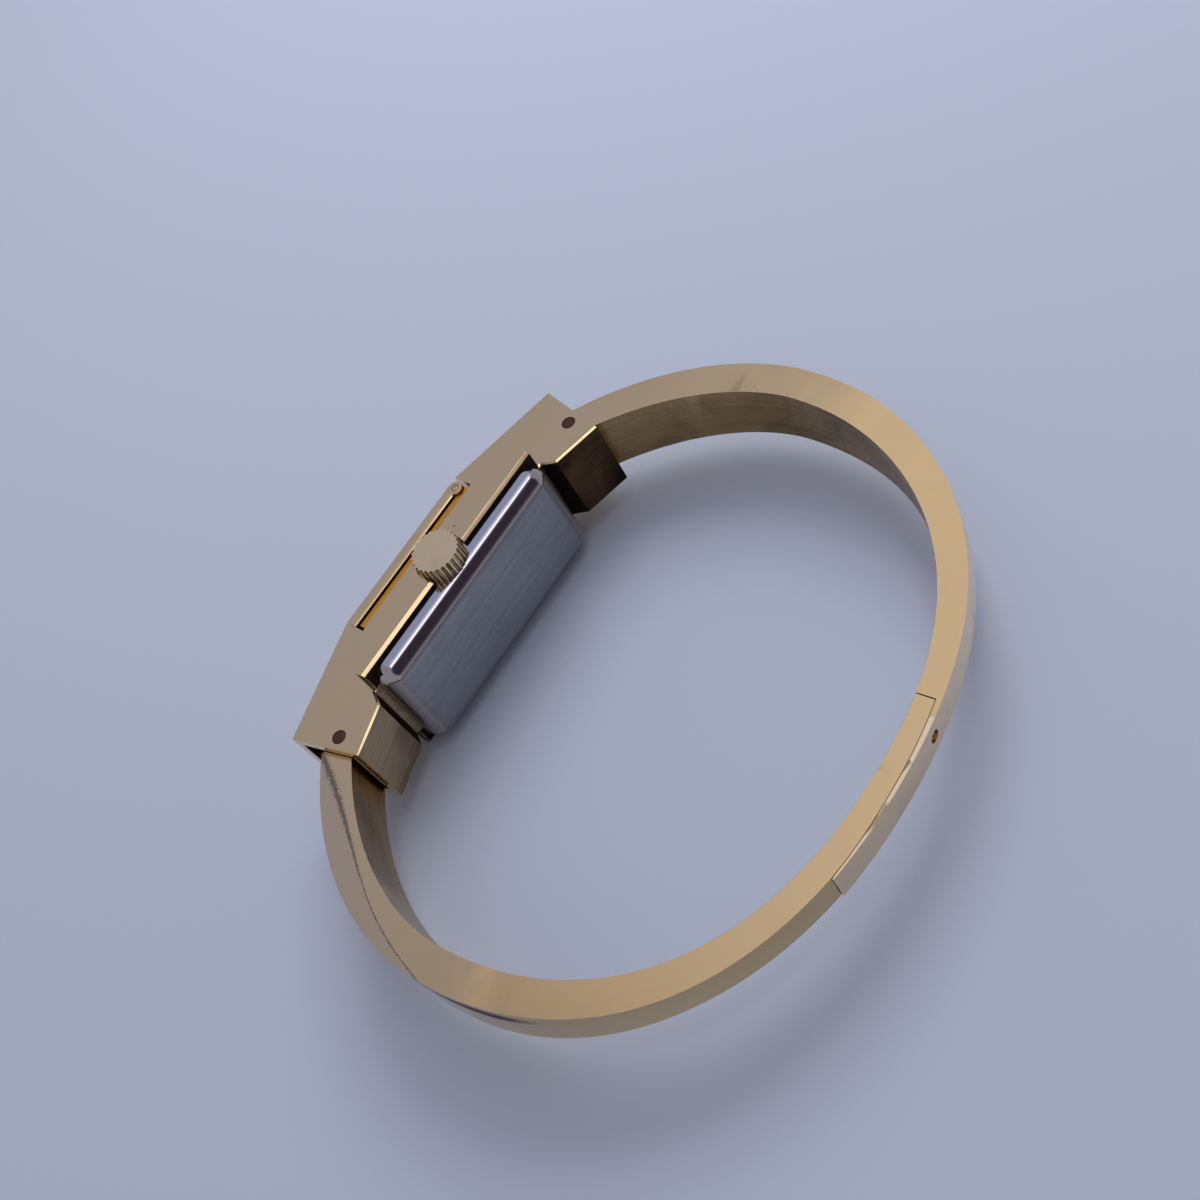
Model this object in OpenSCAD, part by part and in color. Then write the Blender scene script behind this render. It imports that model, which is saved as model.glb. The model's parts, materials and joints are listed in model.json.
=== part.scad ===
// Cover watch on a hinged bangle, lying on its side: X runs along the head, Y from the clasp to the
// head, and Z is the wrist's axis, with the crown on top. Millimetres.

/* [Bangle] */
// Half width of the bangle outside, across the wrist
band_a = 30.7; // [29:0.1:33]
// Reach of the bangle outside, from its centre to the clasp
band_b = 26.45; // [25:0.1:29]
// Thickness of the bangle at its two sides
band_side_t = 3.1; // [2.6:0.1:3.4]
// Thickness of the bangle at the clasp
band_clasp_t = 2.1; // [1.9:0.1:2.6]
// Width of the bangle at the lugs
band_w = 6; // [5:0.1:6.2]
// Width of the bangle at the clasp
band_clasp_w = 3.1; // [2.6:0.1:4.5]
// Distance below the bangle's centre at which it has its clasp width
taper_end = 24; // [20:1:26]
// Distance below the bangle's centre at which it starts to narrow
taper_start = 2; // [0:1:8]

/* [Clasp] */
// Thickness of the tongue that laps over the other half
tongue_t = 0.45; // [0.3:0.05:0.6]
// Thickness of the tongue at its tip
tongue_tip_t = 0.15; // [0.1:0.05:0.3]
// Gap between the tongue and the half beneath it
tongue_gap = 0.06; // [0.04:0.01:0.15]
// Where the tongue starts, right of the middle
tongue_start = 7; // [6:0.5:10]
// Where the tongue ends, left of the middle
tongue_tip = 8.4; // [6:0.2:11]
// Where the domed snap stud stands, right of the middle
stud_x = 5.2; // [3:0.2:5.4]
// Radius of the snap stud
stud_r = 0.4; // [0.3:0.05:0.5]
// How far the stud's dome stands beyond the gap under the tongue
stud_catch = 0.05; // [0.03:0.01:0.06]
// Clearance round the stud in the tongue's hole
stud_play = 0.15; // [0.1:0.05:0.3]

/* [Lugs] */
// Width of each lug box
lug_w = 8; // [7.6:0.1:8.4]
// Wall of each lug box
lug_wall = 0.8; // [0.6:0.05:0.9]
// How far the lug box reaches past the pin, on the outer side
lug_past_pin = 2.2; // [1.8:0.1:2.6]
// How far the lug box reaches past the pin, on the wrist side
lug_past_pin_in = 0.55; // [0.3:0.05:1]
// Drop of the lug's outer face from the cover to its open end
lug_drop = 3.1; // [2.4:0.1:3.6]
// Height of the lug's wrist side below the pin, at its open end
lug_under_pin = 3; // [2.8:0.1:3.4]
// Radius of the hinge pins
pin_r = 0.65; // [0.5:0.05:0.8]
// Radius of the bangle's knuckle round its pin
knuckle_r = 1.7; // [1.4:0.05:1.8]
// Running clearance of the pins, on the radius
pin_play = 0.05; // [0.02:0.01:0.1]
// Angle from the head's middle at which the bangle's halves are pinned
root_angle = 40.5; // [39:0.5:43]

/* [Case] */
// Length of the case's side plates
case_len = 25; // [24:0.2:27]
// Width of the case over both side plates
case_w = 12.6; // [12:0.1:13.4]
// Height of the case's side plates
case_h = 3.4; // [3.2:0.1:4]
// Length of the case between the two lugs
block_len = 16.9; // [16:0.1:17.5]
// Thickness of the whole head, from the steel back to the cover
head_h = 10; // [9.8:0.1:11]
// Height of the pin above the steel back
pin_above_back = 2.67; // [2.4:0.05:3]
// Bright bevel along the side plates
plate_bevel = 0.25; // [0.15:0.05:0.4]
// Width of the collar that holds the crystal
collar_w = 7.4; // [7:0.1:7.8]
// Length of the collar
collar_len = 16.2; // [15.6:0.1:16.6]
// Wall left round the crystal in the collar
collar_wall = 0.45; // [0.35:0.05:0.6]

/* [Steel back] */
// Height of the steel back
back_h = 2.4; // [2.2:0.1:2.8]
// Length of the steel back
back_len = 24; // [23:0.1:24.6]
// Width of the steel back
back_w = 11.5; // [11.2:0.1:11.5]
// Wall of the steel back
back_wall = 0.45; // [0.35:0.05:0.5]
// Rounding along the back's long edges
back_round = 1.9; // [1.2:0.1:2]
// Rounding along the back's short edges
back_round_end = 1.7; // [1:0.1:2]
// Radius of the back's upright corners
back_corner = 2.1; // [1.4:0.1:2.4]

/* [Cover] */
// Thickness of the cover over its rim
lid_t = 1.05; // [1:0.05:1.4]
// Thickness of the cover's outer sheet
lid_skin = 0.5; // [0.4:0.05:0.6]
// Wall of the cover's rim
lid_wall = 0.5; // [0.4:0.05:0.6]
// Radius of the cover's hinge knuckles
lid_knuckle_r = 0.72; // [0.6:0.02:0.75]
// Radius of the cover's hinge pin
lid_pin_r = 0.3; // [0.2:0.05:0.35]
// Length of the lug's knuckle between the cover's two
lid_knuckle_w = 3; // [2:0.2:4]

/* [Crown] */
// Radius of the crown over its ribs
crown_r = 2.27; // [2:0.05:2.35]
// Height of the crown above the side plate
crown_out = 1.3; // [1.1:0.1:1.8]
// Depth of the crown's recess in the side plate
crown_sink = 0.6; // [0.4:0.05:0.7]
// Number of ribs round the crown
crown_ribs = 26; // [20:1:32]
// Depth of the crown's ribs
rib_depth = 0.16; // [0.1:0.02:0.2]
// Travel of the crown when it is pulled to set the hands
crown_pull = 0.8; // [0.6:0.05:0.9]
// Height of the crown's axis above the steel back's face
stem_z = 3.3; // [3.2:0.05:3.5]
// Radius of the winding stem
stem_r = 0.42; // [0.35:0.02:0.45]

/* [Dial] */
// Width of the dial's opening
window_w = 5.8; // [5.2:0.1:6]
// Length of the dial's opening
window_len = 11.8; // [11:0.2:12]
// Length of the minute hand, from its centre
minute_len = 2.7; // [2:0.1:2.7]
// Length of the hour hand, from its centre
hour_len = 1.8; // [1.4:0.1:2]
// Thickness of the dial
dial_t = 0.3; // [0.2:0.05:0.35]

/* [Hidden] */
$fn = 48;
eps = 0.01;
fit = 0.02;

gold = [0.83, 0.66, 0.38];
steel = [0.62, 0.63, 0.65];
brass = [0.80, 0.68, 0.36];
nickel = [0.75, 0.74, 0.70];
pin_brown = [0.36, 0.27, 0.22];

// The bangle's outline: a rounded oval, a little squarer towards the clasp than towards the head.
low_power = 2.2;
out_power = 1.9;
in_power = 1.8;
band_steps = 44;
function oval(a, b, top, t) =
    let (n = cos(t) >= 0 ? top : low_power)
    [a * sign(sin(t)) * pow(abs(sin(t)), 2 / n), b * sign(cos(t)) * pow(abs(cos(t)), 2 / n)];
function outer(t) = oval(band_a, band_b, out_power, t);
function inner(t) = oval(band_a - band_side_t, band_b - band_clasp_t, in_power, t);
function outward(t) = let (d = outer(t) - inner(t)) d / norm(d);
function angle_at(x) = 180 - asin(pow(abs(x) / band_a, low_power / 2)) * sign(x);
step_t = angle_at(tongue_start);
tip_t = angle_at(-tongue_tip);
lap = tongue_t + tongue_gap;
end_gap = 0.06;
tip_rise = tongue_gap + tongue_tip_t;
function share(t) = max(0, min(1, (tip_t - t) / (tip_t - step_t)));
function left_outer(t) = t > tip_t ? outer(t) : outer(t) - outward(t) * lap * share(t);
function tongue_inner(t) = outer(t) - outward(t) * (lap * share(t) - tongue_gap);
function tongue_outer(t) = outer(t) + outward(t) * tip_rise * (1 - share(t));

// The pin stands a quarter of the way through the bangle's thickness, and the head hangs from it.
pin_share = 0.25;
pin_at = inner(root_angle) * (1 - pin_share) + outer(root_angle) * pin_share;
back_y = pin_at.y - pin_above_back;
top_y = back_y + head_h;
low_y = max([for (i = [0 : band_steps]) -tongue_outer(step_t + (tip_t - step_t) * i / band_steps).y]);
shift_y = (low_y - top_y) / 2;
mid_z = case_w / 2;

// Places in the head, with X towards the crown, Y towards the cover's hinge and Z out of the dial
deck_z = back_h + case_h;
lid_z = head_h - lid_t;
lid_gap = 0.15;
collar_top = lid_z - lid_gap;
hinge_z = head_h - lid_knuckle_r;
behind_knuckle = 0.2;
hinge_y = block_len / 2 - lid_knuckle_r - behind_knuckle;
knuckle_gap = 0.1;
lid_end = hinge_y - lid_knuckle_r - knuckle_gap;
lid_free_gap = 0.25;
lid_free = lid_free_gap - block_len / 2;
deck_t = 0.6;
pocket_top = deck_z - deck_t;
pocket_w = 9.8;
pocket_len = 15.8;
lip_play = 0.05;
lip_t = 0.35;
lip_h = 0.6;
seat_rise = 1.5;
crystal_seat = deck_z + seat_rise;
crystal_w = collar_w - 2 * collar_wall;
crystal_len = 12.7;
crystal_play = 0.03;
crystal_rise = 0.35;
crystal_crown = 0.3;
arch_sides = 180;
crystal_step = 0.2;
crystal_step_end = 0.5;

// The movement's levels above the steel back's outer face
bridge_z = 0.8;
bridge_t = 0.45;
plate_z = 2.6;
plate_t = 1.6;
plate_w = 8.8;
plate_len = 14.8;
dial_gap = 0.05;
dial_z = pocket_top - dial_t - dial_gap;
wheel_t = 0.2;
arbor_r = 0.12;
arbor_z = bridge_z + 0.1;
arbor_h = 2.1;
pivot_in = 0.7;
hole_r = 0.17;
ring_play = 0.1;
post_r = 0.35;
screw_r = 0.2;
screw_head_r = 0.42;
screw_head_t = 0.18;
screw_in = 1;
screw_slot = 0.14;

// The going train: teeth, tooth size and the direction from each arbor to the next
barrel_n = 48;
barrel_m = 0.125;
centre_pinion_n = 8;
centre_n = 48;
centre_m = 0.1;
third_pinion_n = 6;
third_n = 45;
third_m = 0.08;
fourth_pinion_n = 6;
fourth_n = 42;
fourth_m = 0.075;
escape_pinion_n = 6;
escape_n = 15;
escape_r = 0.8;
ratchet_n = 40;
crown_wheel_n = 30;
winding_m = 0.1;
cannon_n = 10;
minute_wheel_n = 30;
minute_pinion_n = 8;
hour_n = 32;
motion_m = 0.07;
function polar(d, a) = [d * cos(a), d * sin(a)];
function mesh(m, a, b) = m * (a + b) / 2;
barrel_dir = 110;
third_dir = -47;
fourth_dir = -154;
escape_dir = -155;
crown_wheel_dir = -17;
minute_dir = 200;
centre_at = [0, 0];
barrel_at = centre_at + polar(mesh(barrel_m, barrel_n, centre_pinion_n), barrel_dir);
third_at = centre_at + polar(mesh(centre_m, centre_n, third_pinion_n), third_dir);
fourth_at = third_at + polar(mesh(third_m, third_n, fourth_pinion_n), fourth_dir);
escape_at = fourth_at + polar(mesh(fourth_m, fourth_n, escape_pinion_n), escape_dir);
crown_wheel_at = barrel_at + polar(mesh(winding_m, ratchet_n, crown_wheel_n), crown_wheel_dir);
minute_wheel_at = centre_at + polar(mesh(motion_m, cannon_n, minute_wheel_n), minute_dir);
pallet_dir = -60;
pallet_far = 1.15;
pallet_at = escape_at + polar(pallet_far, pallet_dir);
balance_at = [1.5, -5.1];
balance_r = 1.9;
barrel_feet = [[3.9, 6.9], [-3.9, 6.9], [3.9, 3.9]];
train_feet = [[3.9, -3.9], [-3.9, -4.8], [-3.9, -0.4]];
cock_feet = [[3.9, -6.9]];

// Levels of the wheels and pinions
centre_wheel_z = 2.25;
centre_pinion_z = 1.3;
third_wheel_z = 1.75;
third_pinion_h = 0.55;
fourth_wheel_z = 1.4;
fourth_pinion_h = 0.45;
escape_wheel_z = 2;
escape_wheel_t = 0.15;
escape_pinion_z = 1.3;
pallet_z = 1.75;
pallet_t = 0.15;
balance_z = 2.15;
balance_t = 0.25;
roller_z = 1.72;
hairspring_z = 1.32;

// Angle of the first tooth of a wheel of b teeth that a wheel of a teeth drives in direction dir
function driven(a, phase, dir, b) =
    let (off = (dir - phase) - floor((dir - phase) * a / 360) * 360 / a)
    dir + 180 + off * a / b + 180 / b;
function tooth(n, m, i, phase) =
    let (p = 360 / n, c = phase + i * p, r = m * n / 2, low = r - 1.15 * m, high = r + 0.8 * m)
    [polar(low, c - 0.27 * p), polar(high, c - 0.1 * p), polar(high, c + 0.1 * p),
        polar(low, c + 0.27 * p)];
module toothed(n, m, phase = 0) {
    polygon([for (i = [0 : n - 1]) each tooth(n, m, i, phase)]);
}
module disc_at(at, z, r, h) {
    translate([at.x, at.y, z]) cylinder(r = r, h = h);
}
module wheel_at(at, z, h, n, m, phase = 0) {
    translate([at.x, at.y, z]) linear_extrude(h) toothed(n, m, phase);
}
module arbor_at(at) {
    disc_at(at, arbor_z, arbor_r, arbor_h);
}
module block(w, l, z0, z1) {
    translate([-w / 2, -l / 2, z0]) cube([w, l, z1 - z0]);
}
module rounded_rect(w, l, r) {
    union() {
        square([w - 2 * r, l], center = true);
        square([w, l - 2 * r], center = true);
        for (x = [-1, 1], y = [-1, 1]) translate([x * (w / 2 - r), y * (l / 2 - r)]) circle(r);
    }
}

// Spiral strip from radius r0 to r1, for the two springs
spring_h = 0.3;
module spiral(r0, r1, turns, t, steps) {
    linear_extrude(spring_h) polygon(concat(
        [for (i = [0 : steps]) polar(r0 + (r1 - r0) * i / steps, 360 * turns * i / steps)],
        [for (i = [steps : -1 : 0]) polar(r0 + t + (r1 - r0) * i / steps, 360 * turns * i / steps)]));
}

// From the head's own axes, and from the bangle's, to the model's
module in_head() {
    translate([0, back_y + shift_y, mid_z]) rotate([-90, -90, 0]) children();
}
module in_ring() {
    translate([0, shift_y, mid_z]) children();
}

// Side outline of the case: a long bar with a straight foot, curved shoulders and blunted ends
shoulder = 4.4;
shoulder_h = 1.7;
shoulder_steps = 6;
blunt = 0.45;
foot_splay = 0.1;
module side_outline() {
    foot = case_len / 2;
    knee = foot + foot_splay;
    top = foot - shoulder;
    end_h = deck_z - shoulder_h;
    curve = [for (i = [0 : shoulder_steps])
        let (u = i / shoulder_steps) [top + (foot - blunt / 2 - top) * u, deck_z - shoulder_h * pow(u, 1.5)]];
    side = concat(curve, [[knee, end_h - blunt], [knee, end_h - 2 * blunt], [foot, back_h]]);
    polygon(concat(side, [for (i = [len(side) - 1 : -1 : 0]) [-side[i].x, side[i].y]]));
}
module case_middle() {
    color(gold) in_head() difference() {
        union() {
            translate([-case_w / 2, 0, 0]) rotate([90, 0, 90]) linear_extrude(case_w) side_outline();
            block(collar_w, collar_len, deck_z - eps, collar_top);
        }
        for (s = [-1, 1])
            translate([-lug_w / 2, s > 0 ? block_len / 2 : -case_len, 0])
                cube([lug_w, case_len - block_len / 2, head_h]);
        block(pocket_w, pocket_len, 0, pocket_top);
        block(window_w, window_len, 0, head_h);
        block(crystal_w, crystal_len, crystal_seat, head_h);
        translate([-case_w / 2, hinge_y, hinge_z])
            rotate([0, 90, 0]) cylinder(r = lid_knuckle_r + knuckle_gap, h = case_w);
        translate([case_w / 2 - crown_sink, 0, stem_z])
            rotate([0, 90, 0]) cylinder(r = crown_r + crown_play, h = case_w);
        along_stem(0, case_w, tube_r + fit);
        for (s = [-1, 1])
            translate([s * case_w / 2, 0, back_h]) rotate([0, 45, 0])
                cube([plate_bevel * sqrt(2), 2 * case_len, plate_bevel * sqrt(2)], center = true);
    }
}

// Snap-on steel back: a shallow tray with polished, rounded edges and an inner lip
module back_form(w, l, z, rw, rl) {
    intersection() {
        translate([0, l / 2, 0]) rotate([90, 0, 0]) linear_extrude(l) union() {
            translate([-w / 2, z + rw]) square([w, back_h - z - rw]);
            translate([-w / 2 + rw, z]) square([w - 2 * rw, rw + eps]);
            for (s = [-1, 1]) translate([s * (w / 2 - rw), z + rw]) circle(rw);
        }
        translate([-w / 2, 0, 0]) rotate([90, 0, 90]) linear_extrude(w) union() {
            translate([-l / 2, z + rl]) square([l, back_h - z - rl]);
            translate([-l / 2 + rl, z]) square([l - 2 * rl, rl + eps]);
            for (s = [-1, 1]) translate([s * (l / 2 - rl), z + rl]) circle(rl);
        }
        translate([0, 0, z]) linear_extrude(back_h - z) rounded_rect(w, l, back_corner);
    }
}
module case_back() {
    lip_w = pocket_w - 2 * lip_play;
    lip_len = pocket_len - 2 * lip_play;
    color(steel) in_head() difference() {
        union() {
            difference() {
                back_form(back_w, back_len, 0, back_round, back_round_end);
                back_form(back_w - 2 * back_wall, back_len - 2 * back_wall, back_wall,
                    back_round - back_wall, back_round_end - back_wall);
            }
            difference() {
                block(lip_w, lip_len, back_wall - eps, back_h + lip_h);
                block(lip_w - 2 * lip_t, lip_len - 2 * lip_t, 0, head_h);
            }
        }
        along_stem(0, case_w, tube_r + tube_play);
    }
}

// Lug box: folded sheet, open at its outer end, where the bangle's knuckle turns on its pin
root_x = block_len / 2;
rim_y = back_y + back_h;
lug_top_in = [root_x, top_y];
lug_top_out = [pin_at.x + lug_past_pin, top_y - lug_drop];
lug_low_out = [pin_at.x + lug_past_pin_in, pin_at.y - lug_under_pin];
lug_heel = [1.05, -1.35];
lug_low_in = [case_len / 2, rim_y] + lug_heel;
case_gap = 0.25;
lug_chamfer = [case_len / 2 + case_gap, rim_y];
knuckle_room = 0.6;
cavity_x = pin_at.x - knuckle_r - knuckle_room;
function along(p, q, x) = p.y + (q.y - p.y) * (x - p.x) / (q.x - p.x);
module lug_outline() {
    polygon([lug_top_in, lug_top_out, lug_low_out, lug_low_in, lug_chamfer, [root_x, rim_y]]);
}
module lug_cavity() {
    top = lug_wall * norm(lug_top_out - lug_top_in) / (lug_top_out.x - lug_top_in.x);
    low = lug_wall * norm(lug_low_out - lug_low_in) / (lug_low_out.x - lug_low_in.x);
    far = lug_top_out.x + 1;
    polygon([
        [cavity_x, along(lug_top_in, lug_top_out, cavity_x) - top],
        [far, along(lug_top_in, lug_top_out, far) - top],
        [far, along(lug_low_in, lug_low_out, far) + low],
        [cavity_x, along(lug_low_in, lug_low_out, cavity_x) + low]]);
}
module lug_box() {
    difference() {
        translate([0, 0, -lug_w / 2]) linear_extrude(lug_w) lug_outline();
        translate([0, 0, -lug_w / 2 + lug_wall]) linear_extrude(lug_w - 2 * lug_wall) lug_cavity();
        translate([pin_at.x, pin_at.y, -lug_w]) cylinder(r = pin_r + fit, h = 2 * lug_w);
    }
}
module lug_right() {
    color(gold) in_ring() difference() {
        union() {
            lug_box();
            translate([hinge_y, back_y + hinge_z, -lid_knuckle_w / 2])
                cylinder(r = lid_knuckle_r, h = lid_knuckle_w);
            translate([hinge_y, top_y - 2 * lid_knuckle_r, -lid_knuckle_w / 2])
                cube([root_x - hinge_y + eps, 2 * lid_knuckle_r, lid_knuckle_w]);
        }
        translate([hinge_y, back_y + hinge_z, -lug_w]) cylinder(r = lid_pin_r + fit, h = 2 * lug_w);
    }
}
module lug_left() {
    color(gold) in_ring() mirror([1, 0, 0]) lug_box();
}
module lug_pin() {
    translate([pin_at.x, pin_at.y, -lug_w / 2]) cylinder(r = pin_r, h = lug_w);
}
module lug_pin_right() {
    color(pin_brown) in_ring() lug_pin();
}
module lug_pin_left() {
    color(pin_brown) in_ring() mirror([1, 0, 0]) lug_pin();
}

// Bangle halves: extruded from the oval's outline and narrowed towards the clasp
function ease(u) = (1 - cos(180 * max(0, min(1, u)))) / 2;
function width_at(y) =
    band_w - (band_w - band_clasp_w) * ease((-y - taper_start) / (taper_end - taper_start));
module taper() {
    far = band_b + 2;
    ys = [far, for (i = [0 : 12]) -taper_start - (taper_end - taper_start) * i / 12, -far];
    translate([-band_a - 1, 0, 0]) rotate([90, 0, 90]) linear_extrude(2 * band_a + 2) polygon(concat(
        [for (y = ys) [y, width_at(y) / 2]],
        [for (i = [len(ys) - 1 : -1 : 0]) [ys[i], -width_at(ys[i]) / 2]]));
}
module knuckle() {
    translate([pin_at.x, pin_at.y, -band_w / 2]) cylinder(r = knuckle_r, h = band_w);
}
module pin_bore() {
    translate([pin_at.x, pin_at.y, -band_w]) cylinder(r = pin_r + pin_play, h = 2 * band_w);
}
stud_t = angle_at(stud_x);
stud_dir = outward(stud_t);
stud_foot = 0.8;
stud_reach = 2;
module at_stud() {
    foot = left_outer(stud_t);
    translate([foot.x, foot.y, 0]) rotate([90, 0, atan2(stud_dir.y, stud_dir.x) + 90]) children();
}
module bangle_right() {
    ts = [for (i = [0 : band_steps]) root_angle + (step_t - root_angle) * i / band_steps];
    laps = [for (i = [0 : 12]) step_t + (tip_t - step_t) * i / 12];
    color(gold) in_ring() difference() {
        intersection() {
            union() {
                translate([0, 0, -band_w / 2]) linear_extrude(band_w) polygon(concat(
                    [for (t = ts) outer(t)],
                    [for (t = laps) tongue_outer(t)],
                    [for (i = [12 : -1 : 0]) tongue_inner(laps[i])],
                    [for (i = [band_steps : -1 : 0]) inner(ts[i])]));
                knuckle();
            }
            taper();
        }
        pin_bore();
        at_stud() cylinder(r = stud_r + stud_play, h = stud_reach);
    }
}
module bangle_left() {
    first = step_t + end_gap / band_b * 180 / PI;
    last = 360 - root_angle;
    ts = concat([for (i = [0 : 12]) first + (tip_t - first) * i / 12],
        [for (i = [1 : band_steps]) tip_t + (last - tip_t) * i / band_steps]);
    color(gold) in_ring() difference() {
        intersection() {
            union() {
                translate([0, 0, -band_w / 2]) linear_extrude(band_w) polygon(concat(
                    [for (t = ts) left_outer(t)],
                    [for (i = [len(ts) - 1 : -1 : 0]) inner(ts[i])]));
                mirror([1, 0, 0]) knuckle();
            }
            taper();
        }
        mirror([1, 0, 0]) pin_bore();
        at_stud() translate([0, 0, -stud_foot]) cylinder(r = stud_r + fit, h = stud_reach);
    }
}
module clasp_stud() {
    rise = tongue_gap + stud_catch;
    dome_r = (stud_r * stud_r + rise * rise) / (2 * rise);
    color(gold) in_ring() {
        at_stud() translate([0, 0, -stud_foot]) cylinder(r = stud_r, h = stud_foot);
        at_stud() intersection() {
            translate([0, 0, -eps]) cylinder(r = stud_r, h = rise + 2 * eps);
            translate([0, 0, rise - dome_r]) sphere(dome_r);
        }
    }
}

// Cover: a shallow pressed tray with a knuckle at each side of the lug's
lid_web = 0.3;
lid_side_w = (lug_w - lid_knuckle_w) / 2 - knuckle_gap;
module cover_lid() {
    inside_len = lid_end - lid_free - 2 * lid_wall;
    color(gold) in_head() difference() {
        union() {
            difference() {
                translate([-lug_w / 2, lid_free, lid_z]) cube([lug_w, lid_end - lid_free, lid_t]);
                translate([-lug_w / 2 + lid_wall, lid_free + lid_wall, 0])
                    cube([lug_w - 2 * lid_wall, inside_len, head_h - lid_skin]);
            }
            for (x = [-lug_w / 2, lug_w / 2 - lid_side_w]) {
                translate([x, hinge_y, hinge_z]) rotate([0, 90, 0])
                    cylinder(r = lid_knuckle_r, h = lid_side_w);
                translate([x, lid_end - eps, hinge_z - lid_web])
                    cube([lid_side_w, hinge_y - lid_end + eps, lid_knuckle_r + lid_web]);
            }
        }
        translate([-lug_w, hinge_y, hinge_z]) rotate([0, 90, 0])
            cylinder(r = lid_pin_r + pin_play, h = 2 * lug_w);
    }
}
module cover_hinge_pin() {
    color(gold) in_head() translate([-lug_w / 2, hinge_y, hinge_z]) rotate([0, 90, 0])
        cylinder(r = lid_pin_r, h = lug_w);
}
module cover_catch() {
    catch_t = 0.3;
    catch_w = 2.4;
    side_gap = 0.06;
    top_gap = 0.15;
    color(steel) in_head() translate([-catch_w / 2, lid_free + lid_wall + side_gap, collar_top])
        cube([catch_w, catch_t, head_h - lid_skin - collar_top - top_gap]);
}

// Crystal: a plain block in the collar's rebate with a low arched top
module crystal() {
    w = crystal_w - 2 * crystal_play;
    l = crystal_len - 2 * crystal_play;
    top = collar_top + crystal_rise;
    arch_r = (w * w / 4 + crystal_crown * crystal_crown) / (2 * crystal_crown);
    color([0.85, 0.9, 0.92, 0.35]) in_head() intersection() {
        union() {
            block(w, l, crystal_seat, collar_top);
            block(w - 2 * crystal_step, l - 2 * crystal_step_end, crystal_seat, top);
        }
        translate([0, l / 2, top - arch_r]) rotate([90, 0, 0]) cylinder(r = arch_r, h = l, $fn = arch_sides);
    }
}

// Dial, its applied batons and the two hands
dial_w = 6.8;
dial_len = 13;
baton_w = 0.18;
baton_t = 0.14;
hand_t = 0.14;
under_hands = 0.55;
between_hands = 0.25;
hour_z = dial_z + dial_t + under_hands;
minute_z = hour_z + hand_t + between_hands;
pipe_r = 0.36;
dial_hole_play = 0.12;
marker_in = [0.5, 0.6];
marker_long = 1;
marker_short = 0.6;
module dial() {
    color([0.93, 0.89, 0.78]) in_head() difference() {
        block(dial_w, dial_len, dial_z, dial_z + dial_t);
        disc_at(centre_at, 0, pipe_r + dial_hole_play, head_h);
    }
}
module hour_markers() {
    edge_w = window_w / 2 - marker_in.x;
    edge_l = window_len / 2 - marker_in.y;
    color(gold) in_head() for (i = [0 : 11]) {
        a = 30 * i;
        reach = min(edge_w / max(0.01, abs(sin(a))), edge_l / max(0.01, abs(cos(a))));
        mark = i % 3 == 0 ? marker_long : marker_short;
        translate([sin(a) * reach, cos(a) * reach, dial_z + dial_t])
            rotate([0, 0, -a]) translate([-baton_w / 2, -mark, 0]) cube([baton_w, mark, baton_t]);
    }
}
hand_boss = 0.22;
hand_tail = 0.6;
hand_tail_w = 0.14;
hand_belly = 0.2;
hand_point = 0.05;
hour_turn = 58;
minute_turn = -48;
module hand(len, bore, z) {
    half = [[hand_tail_w, -hand_tail], [hand_belly, hand_tail], [hand_point, len]];
    translate([0, 0, z]) linear_extrude(hand_t) difference() {
        union() {
            circle(bore + hand_boss);
            polygon(concat(half, [for (i = [2 : -1 : 0]) [-half[i].x, half[i].y]]));
        }
        circle(bore);
    }
}
module hour_hand() {
    color(gold) in_head() rotate([0, 0, hour_turn]) hand(hour_len, pipe_r, hour_z);
}
module minute_hand() {
    color(gold) in_head() rotate([0, 0, minute_turn]) hand(minute_len, cannon_pipe_r, minute_z);
}

// Movement: plate, bridges and their screws
module drill(spots, r) {
    for (p = spots) disc_at(p, 0, r, head_h);
}
module feet(spots) {
    for (p = spots) disc_at(p, bridge_z + bridge_t - eps, post_r, plate_z - bridge_z - bridge_t + eps);
}
all_feet = concat(barrel_feet, train_feet, cock_feet);
all_arbors = [third_at, fourth_at, escape_at, pallet_at, balance_at];
module movement_ring() {
    foot = back_h + lip_h + dial_gap;
    color(nickel) in_head() difference() {
        block(pocket_w - 2 * ring_play, pocket_len - 2 * ring_play, foot, dial_z - dial_gap);
        block(plate_w + 2 * ring_play, plate_len + 2 * ring_play, 0, head_h);
        along_stem(0, case_w, tube_r + tube_play);
    }
}
module main_plate() {
    color(nickel) in_head() difference() {
        block(plate_w, plate_len, plate_z, plate_z + plate_t);
        translate([groove_x - lever_slot / 2, -lever_slot / 2, stem_z])
            cube([crown_pull + lever_slot, lever_slot, head_h]);
        drill([centre_at], centre_hole_r);
        drill(concat(all_arbors, [crown_wheel_at, minute_wheel_at]), hole_r);
        drill(all_feet, screw_r + fit);
        drill([barrel_at], arbor_big_r + arbor_play);
        translate([pinion_x - pinion_room, -pinion_r - pinion_room, 0])
            cube([pinion_len + 2 * pinion_room, 2 * (pinion_r + pinion_room), head_h]);
        along_stem(square_x - pinion_room, plate_w, stem_r + stem_play);
    }
}
module bridge(feet_at, arbors_at) {
    difference() {
        union() {
            translate([0, 0, bridge_z]) linear_extrude(bridge_t) children();
            feet(feet_at);
        }
        drill(arbors_at, hole_r);
        drill(feet_at, screw_r + fit);
    }
}
half_w = plate_w / 2;
half_len = plate_len / 2;
bridge_split = 1.05;
bridge_gap = 0.15;
foot_margin = 0.5;
pallet_margin = 0.7;
cock_w = 1.2;
module barrel_bridge() {
    color(nickel) in_head() difference() {
        bridge(barrel_feet, [crown_wheel_at]) translate([-half_w, bridge_split + bridge_gap])
            square([plate_w, half_len - bridge_split - bridge_gap]);
        drill([barrel_at], arbor_big_r + arbor_play);
    }
}
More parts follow.
